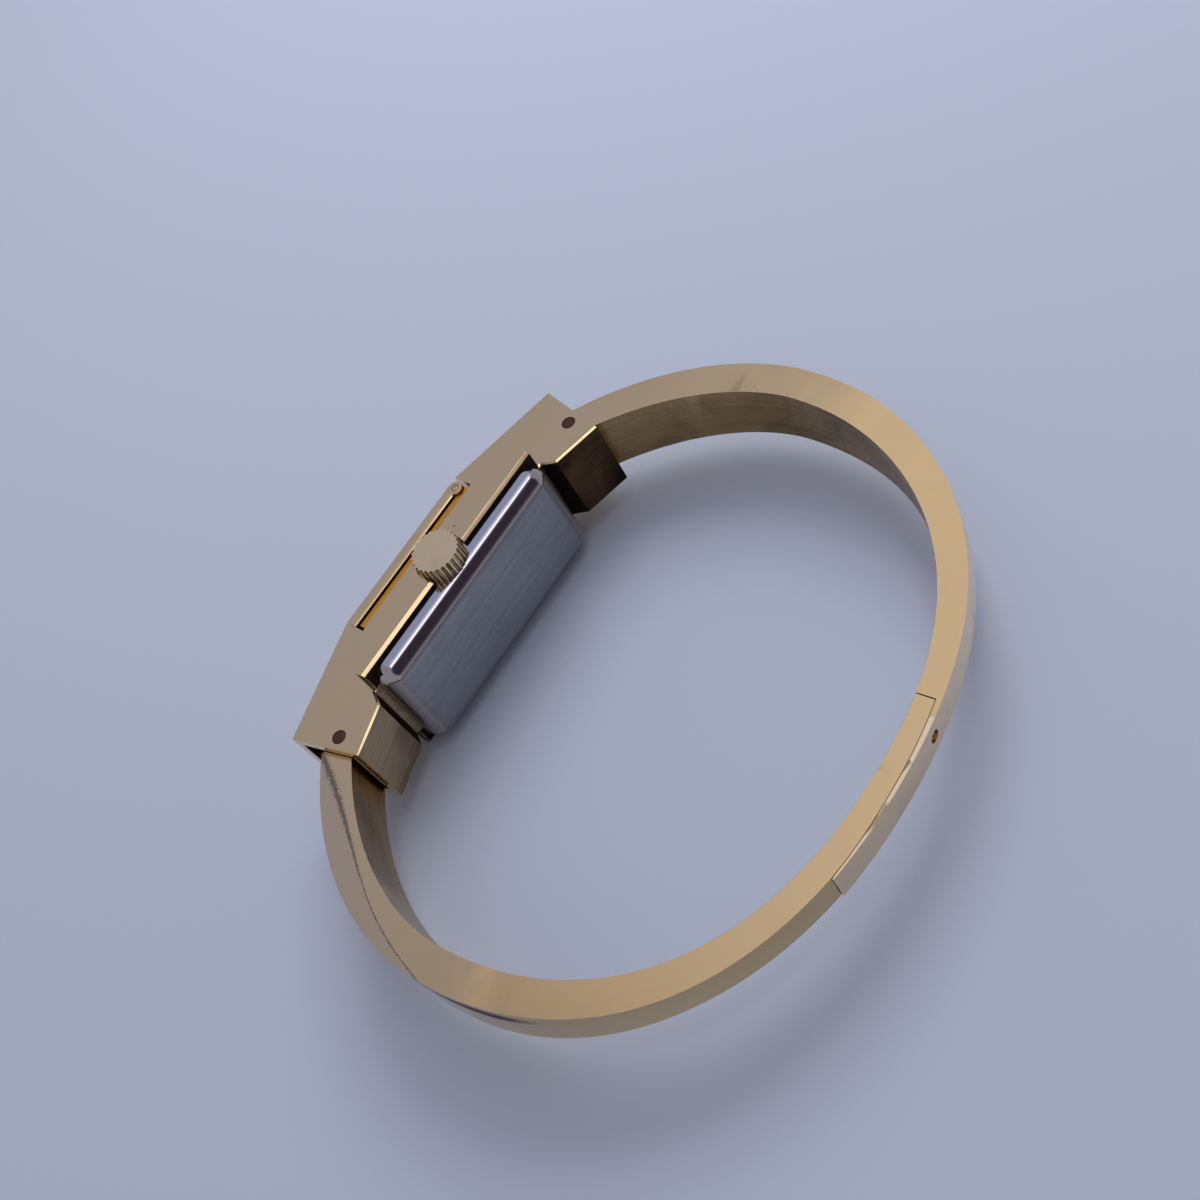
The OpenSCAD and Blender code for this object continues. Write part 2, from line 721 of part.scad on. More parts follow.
module train_bridge() {
    low = pallet_at.y - pallet_margin;
    low_right = train_feet[0].y - foot_margin;
    color(nickel) in_head() bridge(train_feet, [centre_at, third_at, fourth_at, escape_at, pallet_at])
        difference() {
            translate([-half_w, low]) square([plate_w, bridge_split - low]);
            translate(balance_at) circle(balance_r + bridge_gap);
            translate([balance_at.x, low - eps]) square([half_w, low_right - low + eps]);
        }
}
module balance_cock() {
    foot = cock_feet[0];
    foot_w = half_w - foot.x + foot_margin;
    color(nickel) in_head() bridge(cock_feet, [balance_at]) {
        bar(foot, balance_at, cock_w);
        translate(balance_at) circle(cock_w / 2);
        translate([half_w - foot_w, -half_len]) square([foot_w, foot.y + half_len + foot_margin]);
    }
}
module bridge_screws() {
    color(steel) in_head() for (p = all_feet) difference() {
        union() {
            disc_at(p, bridge_z - screw_head_t, screw_head_r, screw_head_t);
            disc_at(p, bridge_z - eps, screw_r, plate_z + screw_in - bridge_z);
        }
        translate([p.x, p.y, bridge_z - screw_head_t])
            cube([screw_slot, 4 * screw_head_r, screw_slot], center = true);
    }
}

// Mainspring barrel, its arbor and the winding wheels over the bridge
arbor_big_r = 0.4;
arbor_play = 0.05;
barrel_z = 1.4;
barrel_h = 0.75;
barrel_wall = 0.2;
barrel_rim_t = 0.25;
barrel_rim_w = 0.3;
drum_r = barrel_m * barrel_n / 2 - barrel_rim_w;
spring_t = 0.1;
spring_gap = 0.05;
spring_start = arbor_big_r + barrel_wall;
ratchet_z = 0.55;
ratchet_t = 0.2;
module mainspring_barrel() {
    color(brass) in_head() difference() {
        union() {
            wheel_at(barrel_at, barrel_z, barrel_rim_t, barrel_n, barrel_m);
            disc_at(barrel_at, barrel_z, drum_r, barrel_h);
        }
        disc_at(barrel_at, barrel_z + barrel_wall, drum_r - barrel_wall, barrel_h - 2 * barrel_wall);
        disc_at(barrel_at, 0, arbor_big_r + arbor_play, head_h);
    }
}
module mainspring() {
    color(steel) in_head() translate([barrel_at.x, barrel_at.y, barrel_z + barrel_wall + fit])
        spiral(spring_start, drum_r - barrel_wall - spring_gap - spring_t, 6, spring_t, 120);
}
module barrel_arbor() {
    color(steel) in_head() disc_at(barrel_at, ratchet_z, arbor_big_r, plate_z + pivot_in - ratchet_z);
}
module ratchet_wheel() {
    color(steel) in_head() difference() {
        wheel_at(barrel_at, ratchet_z, ratchet_t, ratchet_n, winding_m);
        disc_at(barrel_at, 0, arbor_big_r, head_h);
    }
}
module crown_wheel() {
    phase = driven(ratchet_n, 0, crown_wheel_dir, crown_wheel_n);
    color(steel) in_head() {
        wheel_at(crown_wheel_at, ratchet_z, ratchet_t, crown_wheel_n, winding_m, phase);
        disc_at(crown_wheel_at, ratchet_z, arbor_r, plate_z + pivot_in - ratchet_z);
    }
}

// Going train
module centre_wheel() {
    phase = driven(barrel_n, 0, barrel_dir + 180, centre_pinion_n);
    color(brass) in_head() {
        wheel_at(centre_at, centre_wheel_z, wheel_t, centre_n, centre_m);
        wheel_at(centre_at, centre_pinion_z, centre_wheel_z - centre_pinion_z, centre_pinion_n,
            barrel_m, phase);
        disc_at(centre_at, arbor_z, arbor_r, minute_z - bridge_z);
    }
}
module third_wheel() {
    phase = driven(centre_n, 0, third_dir, third_pinion_n);
    color(brass) in_head() {
        wheel_at(third_at, third_wheel_z, wheel_t, third_n, third_m);
        wheel_at(third_at, third_wheel_z + wheel_t, third_pinion_h, third_pinion_n, centre_m, phase);
        arbor_at(third_at);
    }
}
module fourth_wheel() {
    phase = driven(third_n, 0, fourth_dir, fourth_pinion_n);
    color(brass) in_head() {
        wheel_at(fourth_at, fourth_wheel_z, wheel_t, fourth_n, fourth_m);
        wheel_at(fourth_at, fourth_wheel_z + wheel_t, fourth_pinion_h, fourth_pinion_n, third_m, phase);
        arbor_at(fourth_at);
    }
}
module escape_wheel() {
    phase = driven(fourth_n, 0, escape_dir, escape_pinion_n);
    pitch = 360 / escape_n;
    root = escape_r * 0.68;
    color(steel) in_head() {
        translate([escape_at.x, escape_at.y, escape_wheel_z]) linear_extrude(escape_wheel_t) polygon([
            for (i = [0 : escape_n - 1]) each [polar(root, pitch * i), polar(escape_r, pitch * (i + 0.13)),
                polar(escape_r, pitch * (i + 0.25)), polar(root, pitch * (i + 0.67))]]);
        wheel_at(escape_at, escape_pinion_z, escape_wheel_z - escape_pinion_z, escape_pinion_n,
            fourth_m, phase);
        arbor_at(escape_at);
    }
}

// Pallet fork: a lever with two stones beside the escape wheel and a fork at the balance's roller
stone_r = 0.08;
stone_gap = 0.1;
stone_h = 0.3;
stone_reach = escape_r + stone_r + stone_gap;
fork_w = 0.16;
arm_w = 0.2;
fork_reach = 0.55;
fork_boss_r = 0.25;
module bar(p, q, w) {
    d = q - p;
    translate([p.x, p.y]) rotate([0, 0, atan2(d.y, d.x)]) translate([0, -w / 2]) square([norm(d), w]);
}
module pallet_fork() {
    stones = [for (s = [-50, 50]) escape_at + polar(stone_reach, pallet_dir + s)];
    to_balance = balance_at - pallet_at;
    tip = pallet_at + to_balance * (1 - fork_reach / norm(to_balance));
    color(steel) in_head() {
        translate([0, 0, pallet_z]) linear_extrude(pallet_t) {
            for (s = stones) bar(pallet_at, s, arm_w);
            bar(pallet_at, tip, fork_w);
            translate([pallet_at.x, pallet_at.y]) circle(fork_boss_r);
            for (s = stones) translate([s.x, s.y]) circle(1.5 * stone_r);
        }
        for (s = stones) disc_at(s, pallet_z + pallet_t / 2, stone_r, stone_h);
        arbor_at(pallet_at);
    }
}

// Balance: a rim with one straight arm, its roller and the flat hairspring over it
balance_rim = 0.3;
roller_r = 0.32;
hairspring_r = 0.9;
hairspring_t = 0.06;
module balance_wheel() {
    color(brass) in_head() {
        translate([balance_at.x, balance_at.y, balance_z]) linear_extrude(balance_t) difference() {
            circle(balance_r);
            for (s = [0, 180]) rotate([0, 0, s]) intersection() {
                circle(balance_r - balance_rim);
                translate([-balance_r, balance_rim / 2]) square([2 * balance_r, balance_r]);
            }
        }
        disc_at(balance_at, roller_z, roller_r, wheel_t);
        arbor_at(balance_at);
    }
}
module hairspring() {
    color(steel) in_head() translate([balance_at.x, balance_at.y, hairspring_z])
        spiral(arbor_r, hairspring_r, 4, hairspring_t, 80);
}

// Motion work under the dial
centre_hole_r = 0.4;
cannon_pipe_r = 0.2;
cannon_play = 0.04;
over_plate = 0.08;
motion_z = plate_z + plate_t + over_plate;
minute_pinion_h = 0.22;
hour_wheel_z = motion_z + wheel_t + fit;
hour_wheel_t = 0.18;
module cannon_pinion() {
    color(steel) in_head() difference() {
        union() {
            disc_at(centre_at, motion_z, cannon_pipe_r, minute_z + hand_t - motion_z);
            wheel_at(centre_at, motion_z, wheel_t, cannon_n, motion_m);
        }
        disc_at(centre_at, 0, arbor_r, head_h);
    }
}
module minute_wheel() {
    color(brass) in_head() {
        wheel_at(minute_wheel_at, motion_z, wheel_t, minute_wheel_n, motion_m,
            driven(cannon_n, 0, minute_dir, minute_wheel_n));
        wheel_at(minute_wheel_at, motion_z + wheel_t, minute_pinion_h, minute_pinion_n, motion_m);
        disc_at(minute_wheel_at, plate_z + plate_t - pivot_in, arbor_r, pivot_in + over_plate + eps);
    }
}
module hour_wheel() {
    phase = driven(minute_pinion_n, 0, minute_dir + 180, hour_n);
    color(brass) in_head() difference() {
        union() {
            wheel_at(centre_at, hour_wheel_z, hour_wheel_t, hour_n, motion_m, phase);
            disc_at(centre_at, hour_wheel_z, pipe_r, hour_z + hand_t - hour_wheel_z);
        }
        disc_at(centre_at, 0, cannon_pipe_r + cannon_play, head_h);
    }
}

// Winding stem, its sliding pinion, the case tube and the ribbed crown
tube_r = 0.75;
tube_play = 0.1;
tube_in_crown = 0.5;
pinion_n = 14;
pinion_m = 0.11;
pinion_r = pinion_m * (pinion_n / 2 + 0.8);
pinion_len = 1.4;
pinion_room = 0.2;
pinion_x = plate_w / 2 - 2.8;
square_side = 0.5;
square_play = 0.03;
square_x = pinion_x - 0.6;
square_end = pinion_x + 1.5;
stem_play = 0.06;
crown_play = 0.2;
crown_gap = 0.1;
crown_web = 0.6;
crown_bore = tube_in_crown + crown_play;
crown_in = case_w / 2 - crown_sink + crown_gap;
crown_face = case_w / 2 + crown_out;
groove_x = plate_w / 2 - 0.95;
groove_w = 0.4;
groove_r = 0.28;
lever_pin_r = 0.16;
lever_play = 0.1;
lever_slot = 2 * (lever_pin_r + lever_play);
lever_t = 0.2;
lever_w = 0.4;
lever_len = 2.4;
lever_tail = 0.3;
lever_gap = 0.04;
groove_play = 0.03;
module along_stem(x0, x1, r) {
    translate([x0, 0, stem_z]) rotate([0, 90, 0]) cylinder(r = r, h = x1 - x0);
}
module square_bar(x0, x1, side) {
    translate([x0, -side / 2, stem_z - side / 2]) cube([x1 - x0, side, side]);
}
module winding_pinion() {
    color(steel) in_head() difference() {
        translate([pinion_x, 0, stem_z]) rotate([0, 90, 0])
            linear_extrude(pinion_len) toothed(pinion_n, pinion_m);
        square_bar(0, plate_w, square_side + 2 * square_play);
    }
}
module winding_stem() {
    color(steel) in_head() {
        square_bar(square_x, square_end, square_side);
        difference() {
            along_stem(square_end, crown_face - crown_web, stem_r);
            difference() {
                along_stem(groove_x - groove_w / 2, groove_x + groove_w / 2, 2 * stem_r);
                along_stem(square_end, crown_face, groove_r);
            }
        }
    }
}

// Setting lever: rides in the stem's groove and follows it when the crown is pulled
module setting_lever() {
    z = plate_z + plate_t + lever_gap;
    pin_z = stem_z + groove_r + groove_play;
    color(steel) in_head() {
        disc_at([groove_x, 0], pin_z, lever_pin_r, z + lever_t - pin_z);
        translate([groove_x - lever_w / 2, -lever_tail, z]) cube([lever_w, lever_len, lever_t]);
    }
}
module stem_tube() {
    color(gold) in_head() difference() {
        along_stem(pocket_w / 2, crown_in + tube_in_crown, tube_r);
        along_stem(0, case_w, stem_r + stem_play);
    }
}
module crown() {
    pitch = 360 / crown_ribs;
    color(gold) in_head() difference() {
        translate([crown_in, 0, stem_z]) rotate([0, 90, 0]) linear_extrude(crown_face - crown_in)
            polygon([for (i = [0 : crown_ribs - 1]) each [
                polar(crown_r - rib_depth, pitch * (i - 0.2)), polar(crown_r, pitch * (i + 0.08)),
                polar(crown_r, pitch * (i + 0.42)), polar(crown_r - rib_depth, pitch * (i + 0.7))]]);
        along_stem(0, crown_in + crown_bore, tube_r + tube_play);
        along_stem(0, crown_face - crown_web, stem_r);
    }
}

case_middle();
case_back();
lug_right();
lug_left();
lug_pin_right();
lug_pin_left();
bangle_right();
bangle_left();
clasp_stud();
cover_lid();
cover_hinge_pin();
cover_catch();
crystal();
dial();
hour_markers();
hour_hand();
minute_hand();
movement_ring();
main_plate();
barrel_bridge();
train_bridge();
balance_cock();
bridge_screws();
mainspring_barrel();
mainspring();
barrel_arbor();
ratchet_wheel();
crown_wheel();
centre_wheel();
third_wheel();
fourth_wheel();
escape_wheel();
pallet_fork();
balance_wheel();
hairspring();
cannon_pinion();
minute_wheel();
hour_wheel();
winding_pinion();
winding_stem();
setting_lever();
stem_tube();
crown();
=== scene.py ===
import json
import math

import bmesh
import bpy
from mathutils import Matrix, Vector

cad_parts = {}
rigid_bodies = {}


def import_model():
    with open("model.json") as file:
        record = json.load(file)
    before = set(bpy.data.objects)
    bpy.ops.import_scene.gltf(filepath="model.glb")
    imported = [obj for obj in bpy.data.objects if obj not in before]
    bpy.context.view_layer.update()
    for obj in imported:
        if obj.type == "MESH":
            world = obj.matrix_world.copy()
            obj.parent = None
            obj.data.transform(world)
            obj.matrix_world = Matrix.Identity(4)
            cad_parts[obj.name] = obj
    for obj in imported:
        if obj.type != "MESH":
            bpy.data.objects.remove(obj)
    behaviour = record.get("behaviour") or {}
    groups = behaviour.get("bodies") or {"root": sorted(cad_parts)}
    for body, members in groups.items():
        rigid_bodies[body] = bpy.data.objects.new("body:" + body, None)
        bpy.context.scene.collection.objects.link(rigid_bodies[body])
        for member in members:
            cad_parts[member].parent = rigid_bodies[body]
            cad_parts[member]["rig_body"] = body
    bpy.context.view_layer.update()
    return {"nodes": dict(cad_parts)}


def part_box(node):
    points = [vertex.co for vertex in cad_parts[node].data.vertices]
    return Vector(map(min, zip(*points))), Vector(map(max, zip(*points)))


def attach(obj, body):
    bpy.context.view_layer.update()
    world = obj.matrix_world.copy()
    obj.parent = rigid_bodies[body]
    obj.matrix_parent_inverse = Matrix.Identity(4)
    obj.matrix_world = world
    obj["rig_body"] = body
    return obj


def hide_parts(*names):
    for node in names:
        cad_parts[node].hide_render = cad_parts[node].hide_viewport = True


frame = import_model()

# Gold plate: every shell of the head and both bangle halves are pressed or cast brass, polished
# and gold plated. Wear has left a faint haze, hairline scratches, a few dark specks and rubbed
# edges.
MM = 0.001
PLATE_GOLD = (0.80, 0.59, 0.315, 1)
PLATE_STAIN = (0.62, 0.30, 0.16, 1)
PLATE_RUB = (0.92, 0.76, 0.50, 1)
SPECK_BROWN = (0.10, 0.06, 0.035, 1)
# Grains to the metre
STAIN_GRAINS = 130
RUB_GRAINS = 900
SPECK_GRAINS = 330
SPECK_PATCH_GRAINS = 240
HAZE_GRAINS = 60
WAVE_GRAINS = 200
PORE_GRAINS = 3000
SCRATCH_STRETCH = (5000, 160, 160)
SCRATCH_TURNS = (0.5, 1.9)
# Where in the noise each mark begins and is full, and the values that it has there, if not 0 and 1
STAINED = (0.60, 0.78)
RUBBED = (0.35, 0.6)
SPECKED = (0.60, 0.62)
SPECK_RIM = (0.035, 0.06, 1.0, 0.0)
SCRATCHED = (0.70, 0.76)
HAZY = (0.3, 0.7, -0.02, 0.02)
# How much rougher and how deep the marks are
SCRATCH_ROUGH = 0.15
SPECK_ROUGH = 0.4
PORE_DEEP = 0.03
SCRATCH_DEEP = 0.06
SPECK_DEEP = 0.4


def put(tree, kind, **inputs):
    """Adds a shader node with its settings and inputs; a value may be a socket.

    Spaces in an input's name are given as underscores, and _0 is its first input."""
    made = tree.nodes.new(kind)
    for name, value in inputs.items():
        if hasattr(made, name):
            setattr(made, name, value)
            continue
        socket = made.inputs[int(name[1:]) if name[1:].isdigit() else name.replace("_", " ")]
        if isinstance(value, bpy.types.NodeSocket):
            tree.links.new(value, socket)
        else:
            socket.default_value = value
    return made


def group(name, ins, outs):
    """Starts a shader node group and returns its tree, its input sockets and its output node."""
    tree = bpy.data.node_groups.new(name, "ShaderNodeTree")
    for label, kind, value in ins:
        socket = tree.interface.new_socket(label, in_out="INPUT", socket_type="NodeSocket" + kind)
        socket.default_value = value
    for label, kind in outs:
        tree.interface.new_socket(label, in_out="OUTPUT", socket_type="NodeSocket" + kind)
    return tree, tree.nodes.new("NodeGroupInput").outputs, tree.nodes.new("NodeGroupOutput")


def mixed(tree, factor, a, b):
    """Colour a where the factor is 0 and b where it is 1."""
    blend = put(tree, "ShaderNodeMix", data_type="RGBA")
    for index, value in ((0, factor), (6, a), (7, b)):
        if isinstance(value, bpy.types.NodeSocket):
            tree.links.new(value, blend.inputs[index])
        else:
            blend.inputs[index].default_value = value
    return blend.outputs[2]


def spread(tree, value, low, high, to_low=0.0, to_high=1.0):
    """Maps a value from one range to another, held at both ends."""
    return put(tree, "ShaderNodeMapRange", Value=value, From_Min=low, From_Max=high,
               To_Min=to_low, To_Max=to_high).outputs[0]


def maths(tree, operation, a, b):
    return put(tree, "ShaderNodeMath", operation=operation, _0=a, _1=b).outputs[0]


def noise(tree, place, scale, detail=2.0):
    """Noise of so many grains to the metre, from about 0 to 1."""
    return put(tree, "ShaderNodeTexNoise", Vector=place, Scale=scale, Detail=detail,
               Roughness=0.5).outputs[0]


def stretched(tree, place, scale, turn=(0, 0, 0)):
    return put(tree, "ShaderNodeMapping", Vector=place, Scale=scale, Rotation=turn).outputs[0]


wear, given, out = group(
    "worn plate",
    [("Place", "Vector", (0, 0, 0)), ("Plate", "Color", PLATE_GOLD),
     ("Stain", "Color", PLATE_STAIN), ("Rub", "Color", PLATE_RUB), ("Edge", "Float", 0.0),
     ("Stains", "Float", 0.25), ("Gloss", "Float", 0.15), ("Scratches", "Float", 0.5)],
    [("Color", "Color"), ("Roughness", "Float"), ("Height", "Float")])
place = given["Place"]
cloud = spread(wear, noise(wear, place, STAIN_GRAINS, 3), *STAINED)
cloud = maths(wear, "MULTIPLY", cloud, given["Stains"])
tint = mixed(wear, cloud, given["Plate"], given["Stain"])
patchy = spread(wear, noise(wear, place, RUB_GRAINS, 3), *RUBBED)
tint = mixed(wear, maths(wear, "MULTIPLY", given["Edge"], patchy), tint, given["Rub"])
dots = put(wear, "ShaderNodeTexVoronoi", Vector=place, Scale=SPECK_GRAINS,
           Randomness=1.0).outputs[0]
chosen = spread(wear, noise(wear, place, SPECK_PATCH_GRAINS, 0), *SPECKED)
speck = maths(wear, "MULTIPLY", spread(wear, dots, *SPECK_RIM), chosen)
wear.links.new(mixed(wear, speck, tint, SPECK_BROWN), out.inputs["Color"])
lines = [noise(wear, stretched(wear, place, SCRATCH_STRETCH, (0.3, 0.2, turn)), 1.0, 1)
         for turn in SCRATCH_TURNS]
hair = maths(wear, "MAXIMUM", *[spread(wear, line, *SCRATCHED) for line in lines])
hair = maths(wear, "MULTIPLY", hair, given["Scratches"])
haze = spread(wear, noise(wear, place, HAZE_GRAINS), *HAZY)
rough = maths(wear, "ADD", given["Gloss"], haze)
rough = maths(wear, "ADD", rough, maths(wear, "MULTIPLY", hair, SCRATCH_ROUGH))
rough = maths(wear, "ADD", rough, maths(wear, "MULTIPLY", speck, SPECK_ROUGH))
wear.links.new(rough, out.inputs["Roughness"])
pores = maths(wear, "MULTIPLY", noise(wear, place, PORE_GRAINS), PORE_DEEP)
height = maths(wear, "ADD", noise(wear, place, WAVE_GRAINS, 1), pores)
height = maths(wear, "SUBTRACT", height, maths(wear, "MULTIPLY", hair, SCRATCH_DEEP))
height = maths(wear, "SUBTRACT", height, maths(wear, "MULTIPLY", speck, SPECK_DEEP))
wear.links.new(height, out.inputs["Height"])


def metal(name, lift=0.008 * MM, surface=wear, **changes):
    """A metal whose colour, gloss and surface come from one of the shared groups."""
    material = bpy.data.materials.new(name)
    material.use_nodes = True
    tree = material.node_tree
    shader = tree.nodes["Principled BSDF"]
    shader.inputs["Metallic"].default_value = 1.0
    place = put(tree, "ShaderNodeTexCoord").outputs["Object"]
    made = put(tree, "ShaderNodeGroup", node_tree=surface, Place=place, **changes)
    if "Edge" in made.inputs:
        edge = put(tree, "ShaderNodeAttribute", attribute_name="edge").outputs["Fac"]
        tree.links.new(edge, made.inputs["Edge"])
    bump = put(tree, "ShaderNodeBump", Height=made.outputs["Height"], Distance=lift, Strength=1.0)
    tree.links.new(made.outputs["Color"], shader.inputs["Base Color"])
    tree.links.new(made.outputs["Roughness"], shader.inputs["Roughness"])
    tree.links.new(bump.outputs[0], shader.inputs["Normal"])
    return material


gold_polish = metal("gold plate")

# Case middle: one brass block with long raised side plates, the collar round the crystal and the
# crown's recess. The plates' lower edges carry a thin bright bevel that is cut after polishing.
# Painted shade and painted reflection: the collar's sides under the cover are a deep orange,
# standing in for the shade and the gold's own reflections in that narrow slot.
gold_painted_gap_shade = metal("gold with painted shade in the gaps", Plate=(0.90, 0.42, 0.06, 1), Gloss=0.35)
# Painted shadow: near black on the plates' undersides and ends over the steel back, and on the
# lugs' ends beside it, where the narrow gaps lie in shade.
gold_painted_shadow = metal("painted shadow in the gaps", Plate=(0.035, 0.022, 0.015, 1), Gloss=0.5)
box_low, box_high = [Vector(corner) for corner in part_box("case_middle")]
case_mid = (box_low + box_high) / 2
CASE_EDGE = 0.03 * MM
CASE_LONG_EDGE = 0.15 * MM
LONG = 0.45 * MM
GAP_DEPTH = 1.2 * MM
LEDGE_HIGH = 1 * MM
CAD_BEVEL = 0.25 * MM
BEVEL_HIGH = 0.34 * MM
BEVEL_DEEP = 0.17 * MM
# How near two places are when they count as one
CLOSE = 0.01 * MM
SAME_PLACE = 0.0005 * MM
# How much of a face's direction points one way: nearly all, half, or little
STRAIGHT = 0.9
HALFWAY = 0.5
LITTLE = 0.3


def settled(piece, node):
    """Puts a new piece in the place of a CAD node."""
    piece.modifiers.new("flat faces stay flat", "WEIGHTED_NORMAL").keep_sharp = True
    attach(piece, frame["nodes"][node]["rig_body"])
    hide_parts(node)
    return piece


def finished(node, width, segments=3, least=28, wider=(), reshape=None):
    """A copy of a CAD piece in its place, with its edges rounded, as polishing leaves them.

    Edges that turn by more than the least number of degrees are rounded. The function reshape may
    move the corners first, and wider lists other sizes and the edges that get them."""
    mesh = frame["nodes"][node].data.copy()
    mesh.name = node + "_finished"
    piece = bpy.data.objects.new(node + "_finished", mesh)
    bpy.context.scene.collection.objects.link(piece)
    form = bmesh.new()
    form.from_mesh(mesh)
    bmesh.ops.remove_doubles(form, verts=form.verts, dist=SAME_PLACE)
    bmesh.ops.dissolve_limit(form, angle_limit=math.radians(0.05), verts=form.verts,
                             edges=form.edges)
    if reshape:
        reshape(form)
    edge = form.faces.layers.float.new("edge")
    for size, wanted in (*wider, (width, None)):
        sharp = [e for e in form.edges
                 if e.is_manifold and e.calc_face_angle() > math.radians(least)
                 and not all(face[edge] for face in e.link_faces)
                 and (wanted is None or wanted(*(v.co for v in e.verts)))]
        made = bmesh.ops.bevel(form, geom=sharp, offset=size, affect="EDGES", segments=segments,
                               profile=0.5, material=-1, clamp_overlap=True)
        for face in made["faces"]:
            face[edge] = 1.0
    for face in form.faces:
        face.smooth = True
    for e in form.edges:
        e.smooth = not e.is_manifold or e.calc_face_angle() < math.radians(least + 14)
    form.to_mesh(mesh)
    form.free()
    return settled(piece, node)


def dress(piece, material, slot, *others):
    """Gives a piece its finish; the slot is not used.

    The others are materials, each with the function that chooses its faces."""
    piece.data.materials.clear()
    for finish in (material, *[finish for finish, _ in others]):
        piece.data.materials.append(finish)
    for polygon in piece.data.polygons:
        chosen = [where(polygon.center, polygon.normal) for _, where in others]
        polygon.material_index = chosen.index(True) + 1 if True in chosen else 0
    return piece


# The faces that get the painted shade and reflection of the gap under the cover.
def in_gap(centre, normal):
    """The collar's sides, beneath the cover."""
    return abs(centre.z - case_mid.z) < box_high.z - case_mid.z - GAP_DEPTH \
        and centre.y > case_mid.y and abs(normal.z) > HALFWAY


# The faces that are painted black as shadow under the plates.
def on_ledge(centre, normal):
    """The plates' undersides and ends, where they stand over the steel back."""
    return normal.y < -STRAIGHT \
        or (abs(normal.x) > HALFWAY and centre.y < box_low.y + LEDGE_HIGH)


def bright_bevel(form):
    """Turns the bevels along the plates' lower edges towards the light."""
    for v in form.verts:
        height = v.co.y - box_low.y
        for face, into in ((box_high.z, -1), (box_low.z, 1)):
            depth = into * (v.co.z - face)
            if abs(height - CAD_BEVEL) < CLOSE and abs(depth) < CLOSE:
                v.co.y = box_low.y + BEVEL_HIGH
            elif abs(height) < CLOSE and abs(depth - CAD_BEVEL) < CLOSE:
                v.co.z = face + into * BEVEL_DEEP


def long_straight(a, b):
    return (a - b).length > LONG


# The plates' undersides get the painted shadow, and the collar's sides get the painted shade in the
# gap.
dress(finished("case_middle", CASE_EDGE, least=12, wider=((CASE_LONG_EDGE, long_straight),),
               reshape=bright_bevel),
      gold_polish, "polished_gold", (gold_painted_shadow, on_ledge), (gold_painted_gap_shade, in_gap))

# Steel back: a pressed stainless tray that snaps onto the case, with a lip inside its rim. Its
# edges and the wall on the crown's side are polished bright, its flat is brushed along the head,
# and its other walls are painted a darker brownish grey, a painted reflection of the lugs and
# shade.
STEEL = (0.58, 0.58, 0.61, 1)
STEEL_DULL = (0.36, 0.34, 0.36, 1)
STEEL_GREY = (0.50, 0.45, 0.45, 1)
FINE_LINES = (90, 90, 9000)
COARSE_LINES = (60, 60, 1800)
SMEAR_GRAINS = 110
SMEARED = (0.42, 0.68)
FINE_DARK = (0.35, 0.75, 0.0, 0.22)
COARSE_DARK = (0.4, 0.7, 0.0, 0.18)
FINE_ROUGH = (0.3, 0.7, -0.04, 0.08)
FINE_DEEP = 0.3
BRUSHED_FROM = -0.88
# Faces turned less than this towards the crown's side get the painted dark reflection
PAINTED_DARK_UNDER = 0.25
BACK_RIM = box_low.y
# The wall from the rim to the flat: how far each step leans inwards in degrees, and its length
BACK_PROFILE = ((0, 0), (0, 0.97 * MM), (5, 0.08 * MM), (12, 0.13 * MM), (20, 0.16 * MM),
                (28, 0.15 * MM), (36, 0.3 * MM), (46, 0.38 * MM), (56, 0.4 * MM), (66, 0.35 * MM),
                (77, 0.3 * MM))
BACK_CORNER = 1.5 * MM
BACK_CORNER_LEAST = 0.15 * MM
BACK_WALL = 0.45 * MM
LIP_HALF = (7.85 * MM, 4.85 * MM)
LIP_WALL = 0.35 * MM
STEM_GAP = 0.9 * MM
CORNER_STEPS = 8

brush, given, out = group(
    "brushed metal",
    [("Place", "Vector", (0, 0, 0)), ("Light", "Color", (0.5, 0.4, 0.25, 1)),
     ("Dark", "Color", (0.2, 0.14, 0.08, 1)), ("Smears", "Float", 0.6), ("Gloss", "Float", 0.3)],
    [("Color", "Color"), ("Roughness", "Float"), ("Height", "Float")])
place = given["Place"]
fine = noise(brush, stretched(brush, place, FINE_LINES), 1.0)
coarse = noise(brush, stretched(brush, place, COARSE_LINES), 1.0)
smear = put(brush, "ShaderNodeTexNoise", Vector=place, Scale=SMEAR_GRAINS, Detail=3.0,
            Distortion=1.2).outputs[0]
smear = maths(brush, "MULTIPLY", spread(brush, smear, *SMEARED), given["Smears"])
streak = maths(brush, "ADD", spread(brush, fine, *FINE_DARK), spread(brush, coarse, *COARSE_DARK))
tint = mixed(brush, maths(brush, "ADD", streak, smear), given["Light"], given["Dark"])
brush.links.new(tint, out.inputs["Color"])
rough = maths(brush, "ADD", given["Gloss"], spread(brush, fine, *FINE_ROUGH))
brush.links.new(rough, out.inputs["Roughness"])
height = maths(brush, "ADD", maths(brush, "MULTIPLY", fine, FINE_DEEP), coarse)
brush.links.new(height, out.inputs["Height"])

steel_polish = metal("polished steel shell", lift=0.003 * MM, Plate=STEEL, Stain=STEEL_DULL,
                     Rub=STEEL, Gloss=0.1)
steel_brushed = metal("brushed steel", lift=0.003 * MM, surface=brush,
                      Light=(0.38, 0.38, 0.40, 1), Dark=(0.13, 0.13, 0.14, 1), Smears=0.15,
                      Gloss=0.3)
# Painted reflection: a darker brownish grey for the walls that face away from the crown's side,
# standing in for the lugs and the shade that they reflect.
steel_painted_dark = metal("steel with painted dark reflection", lift=0.003 * MM, Plate=STEEL_GREY,
                   Stain=(0.30, 0.25, 0.22, 1), Rub=STEEL_GREY, Gloss=0.4)
back_low, back_high = [Vector(corner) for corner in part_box("case_back")]
back_mid = (back_low + back_high) / 2


